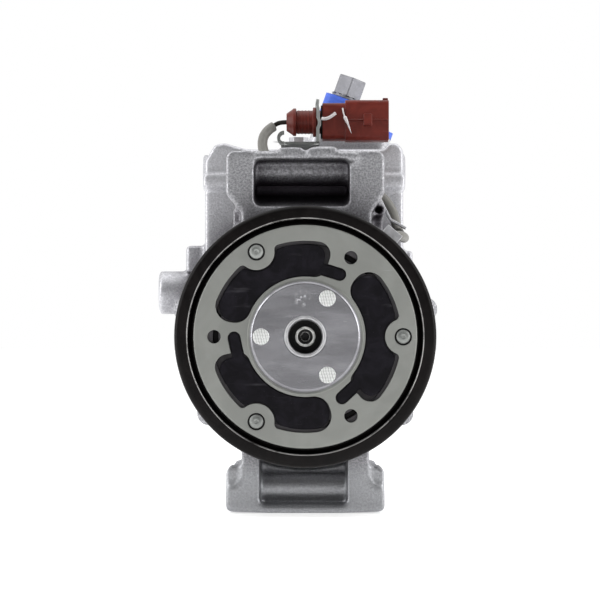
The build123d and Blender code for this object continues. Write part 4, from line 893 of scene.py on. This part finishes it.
class MakePulley(bpy.types.Operator):
    """Grooved pulley"""

    bl_idname = "compressor.pulley"
    bl_label = "Pulley and bearing"

    def execute(self, context):
        edge = context.scene.compressor_clutch.edge
        eased("pulley", edge * 1.6, "pulley_black", "pulley", segments=3)
        return {"FINISHED"}


class MakeHubPlate(bpy.types.Operator):
    """Hub plate with its rubbers, rivets, hub and centre bolt"""

    bl_idname = "compressor.hub_plate"
    bl_label = "Hub plate"

    def execute(self, context):
        edge = context.scene.compressor_clutch.edge
        eased("hub_plate", edge, "plate_zinc", "drive", segments=3)
        eased("damper_rubbers", edge * 1.5, "damper_rubber", "drive", segments=3)
        eased("hub", edge, "zinc_steel", "drive", "hub_lip", segments=2, flatten=False)
        crown_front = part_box("hub_plate")[0][1] / MM
        plate_front = crown_front + 2.5
        flat_heads = []
        for x, z in spots_around(18.5, (60.0, 180.0, 300.0)):
            flat_heads.append(turned_mesh("hub_rivet", [
                (0.0, crown_front - 0.62, 0.0), (3.1, crown_front - 0.70, 0.5),
                (3.5, crown_front - 0.2, 0.1), (3.5, crown_front, 0.0), (2.4, crown_front, 0.0),
                (2.4, plate_front + 2.4, 0.0), (3.5, plate_front + 2.4, 0.1),
                (3.1, plate_front + 3.2, 0.3), (0.0, plate_front + 3.2, 0.0)],
                place=moved(x, 0.0, z)))
        rivets = finished("hub_rivet_heads", joined("hub_rivet_heads", flat_heads))
        held(rivets, "rivet_steel", "drive", ("hub_rivets",), "hatched_rivet")
        bolt = hexagon_mesh("centre_bolt_head", 8.0, [
            (0.0, -8.9, 0.0), (1.6, -9.0, 0.2), (2.0, -11.7, 0.15), (3.3, -12.0, 0.2),
            (4.9, -11.2, 0.2), (4.9, -8.4, 0.0), (5.4, -8.35, 0.1), (5.4, -7.6, 0.1),
            (3.0, -7.6, 0.0), (3.0, 9.6, 0.3), (0.0, 10.0, 0.0)])
        held(finished("centre_bolt_head", bolt, 30.0), "dark_steel", "drive", ("centre_bolt",),
             "black_bolt")
        return {"FINISHED"}


class MakeArmature(bpy.types.Operator):
    """Armature disc and the domed rivets that hold it on the leaf springs"""

    bl_idname = "compressor.armature"
    bl_label = "Armature"

    def execute(self, context):
        eased("armature_plate", 0.3 * MM, "armature_steel", "armature")
        front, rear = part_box("armature_rivets")[0][1] / MM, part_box("armature_rivets")[1][1] / MM
        heads = []
        for x, z in spots_around(41.0, (0.0, 120.0, 240.0)):
            heads.append(turned_mesh("armature_rivet", [
                (0.0, front + 0.22, 0.0), (0.7, front + 0.2, 0.3), (1.1, front, 0.3),
                (1.9, front + 0.1, 0.8), (2.75, front + 0.55, 0.5), (3.0, front + 1.1, 0.2),
                (3.0, front + 2.5, 0.0), (2.0, front + 2.5, 0.0), (2.0, rear, 0.3),
                (0.0, rear, 0.0)], place=moved(x, 0.0, z)))
        rivets = finished("armature_rivet_heads", joined("armature_rivet_heads", heads))
        held(rivets, "rivet_steel", "armature", ("armature_rivets",))
        return {"FINISHED"}


# --- Plug and bracket --------------------------------------------------------------------------------

class MakePlug(bpy.types.Operator):
    """Two-pole plug with its boot, bracket and tie tails"""

    bl_idname = "compressor.plug"
    bl_label = "Plug"

    def execute(self, context):
        eased("connector_housing", 0.35 * MM, "connector_plastic", "housing", segments=3)
        eased("connector_bracket", 0.2 * MM, "zinc_steel", "housing", "bracket_zinc", segments=2,
              flatten=False)
        lo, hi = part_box("connector_boot")
        middle_y, middle_z = (lo[1] + hi[1]) / 2 / MM, (lo[2] + hi[2]) / 2 / MM
        left, right = lo[0] / MM, hi[0] / MM
        along_x = moved(0.0, middle_y, middle_z, -90.0, "Z")
        boot = turned_mesh("plug_boot", [
            (1.02, left + 0.3, 0.0), (1.6, left, 0.2), (3.9, left, 0.5), (5.6, left + 2.5, 0.8),
            (6.2, left + 3.1, 0.3), (6.2, left + 4.3, 0.3), (5.4, left + 4.4, 0.1),
            (2.98, left + 4.4, 0.0), (2.98, right, 0.0), (1.02, right, 0.0)],
            place=along_x, closed=True)
        held(finished("plug_boot", boot), "connector_plastic", "housing", ("connector_boot",))
        ribs = []
        for x in (-2.9, -1.4, 0.1, 1.6):
            ribs.append(turned_mesh("neck_rib", [
                (5.0, x - 0.35, 0.0), (5.34, x - 0.2, 0.12), (5.34, x + 0.2, 0.12),
                (5.0, x + 0.35, 0.0)], place=along_x, closed=True))
        held(finished("plug_neck_ribs", joined("plug_neck_ribs", ribs)), "connector_plastic",
             "housing")
        seal = turned_mesh("plug_seal", [
            (5.25, 6.95, 0.0), (7.5, 6.95, 0.25), (7.5, 7.62, 0.25), (5.25, 7.62, 0.0)],
            place=along_x, closed=True)
        held(finished("plug_seal", seal), "seal_rubber", "housing")
        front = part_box("connector_housing")[0][1] / MM
        stub = nurbs_path("tie_stub_route", [
            (7.3, front + 1.0, 97.0), (8.6, front + 0.75, 96.8), (10.6, front + 0.75, 97.3),
            (12.2, front + 0.75, 98.4), (13.5, front + 0.9, 99.4)])
        held(finished("tie_stub", tube_mesh("tie_stub", stub, 0.72 * MM, segments=24)),
             "connector_plastic", "housing", (), "tie_white")
        tail = nurbs_path("tie_tail_route", [
            (16.6, front + 1.2, 101.6), (16.8, front + 0.6, 100.0), (17.4, front + 0.7, 98.0),
            (18.2, front + 0.75, 96.4), (19.2, front + 0.75, 94.0), (20.5, front + 0.9, 90.4)])
        share = np.linspace(0.0, 1.0, len(tail))
        swell = np.clip((share - 0.36) / 0.10, 0.0, 1.0)
        taper = np.clip((1.0 - share) / 0.50, 0.0, 1.0) ** 0.6
        radius = (0.34 + 0.50 * swell) * np.where(share < 0.46, 1.0, taper) * MM
        held(finished("tie_tail", tube_mesh("tie_tail", tail, np.maximum(radius, 0.05 * MM),
                                            segments=24)),
             "connector_plastic", "housing", (), "tie_white")
        return {"FINISHED"}


# --- Ports and fasteners ---------------------------------------------------------------------------

class MakePortCap(bpy.types.Operator):
    """Blue transport cap on the tilted ports, and its hexagon flange bolt"""

    bl_idname = "compressor.port_cap"
    bl_label = "Port cap"

    def execute(self, context):
        eased("port_cap", 0.4 * MM, "cap_blue", "cap", segments=3, flatten=False, clamp=True)
        eased("cap_bolt", 0.5 * MM, "zinc_steel", "cap", "bolt_zinc", segments=3)
        return {"FINISHED"}


class MakeFasteners(bpy.types.Operator):
    """Through bolts, small screws, lead clamp, relief valve and control valve"""

    bl_idname = "compressor.fasteners"
    bl_label = "Fasteners and valves"

    def execute(self, context):
        for node in ("through_bolts", "small_screws", "cable_clamp", "relief_valve",
                     "control_valve", "coil_plate"):
            eased(node, 0.25 * MM, "zinc_steel", "housing", flatten=node != "through_bolts")
        return {"FINISHED"}


class MakeInsides(bpy.types.Operator):
    """Finishes of every part that keeps its CAD shape"""

    bl_idname = "compressor.insides"
    bl_label = "Inner parts"

    def execute(self, context):
        for name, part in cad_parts.items():
            slot = part.material_slots[0].material.name.split(".")[0]
            if slot not in finishes:
                raise RuntimeError(f"{name} has no finish for {slot}")
            part.data.materials[0] = finishes[slot]
        return {"FINISHED"}


# --- Panel and registration --------------------------------------------------------------------------

class CompressorPanel(bpy.types.Panel):
    """Lists the pieces and their settings"""

    bl_idname = "VIEW3D_PT_compressor"
    bl_label = "Compressor"
    bl_space_type = "VIEW_3D"
    bl_region_type = "UI"
    bl_category = "Compressor"

    def draw(self, context):
        for maker in makers:
            self.layout.operator(maker.bl_idname)
        for group in ("stage", "castings", "clutch", "plug"):
            settings = getattr(context.scene, f"compressor_{group}")
            box = self.layout.box()
            for name in settings.__annotations__:
                box.prop(settings, name)


makers = (MakeStage, MakeLead, MakeCastings, MakePulley, MakeHubPlate, MakeArmature, MakePlug,
          MakePortCap, MakeFasteners, MakeInsides)
setting_groups = {"stage": StageSettings, "castings": CastingSettings, "clutch": ClutchSettings,
                  "plug": PlugSettings}


def register():
    """Register the settings, makers and panel, and hang the settings on the scene."""
    for group in (*setting_groups.values(), *makers, CompressorPanel):
        bpy.utils.register_class(group)
    for name, group in setting_groups.items():
        setattr(bpy.types.Scene, f"compressor_{name}", bpy.props.PointerProperty(type=group))


def unregister():
    """Take everything away that register added."""
    for name in setting_groups:
        delattr(bpy.types.Scene, f"compressor_{name}")
    for group in reversed((*setting_groups.values(), *makers, CompressorPanel)):
        bpy.utils.unregister_class(group)


def main():
    """Register the add-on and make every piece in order."""
    register()
    make_finishes()
    for maker in makers:
        getattr(bpy.ops.compressor, maker.bl_idname.split(".")[1])()


if __name__ == "__main__":
    main()
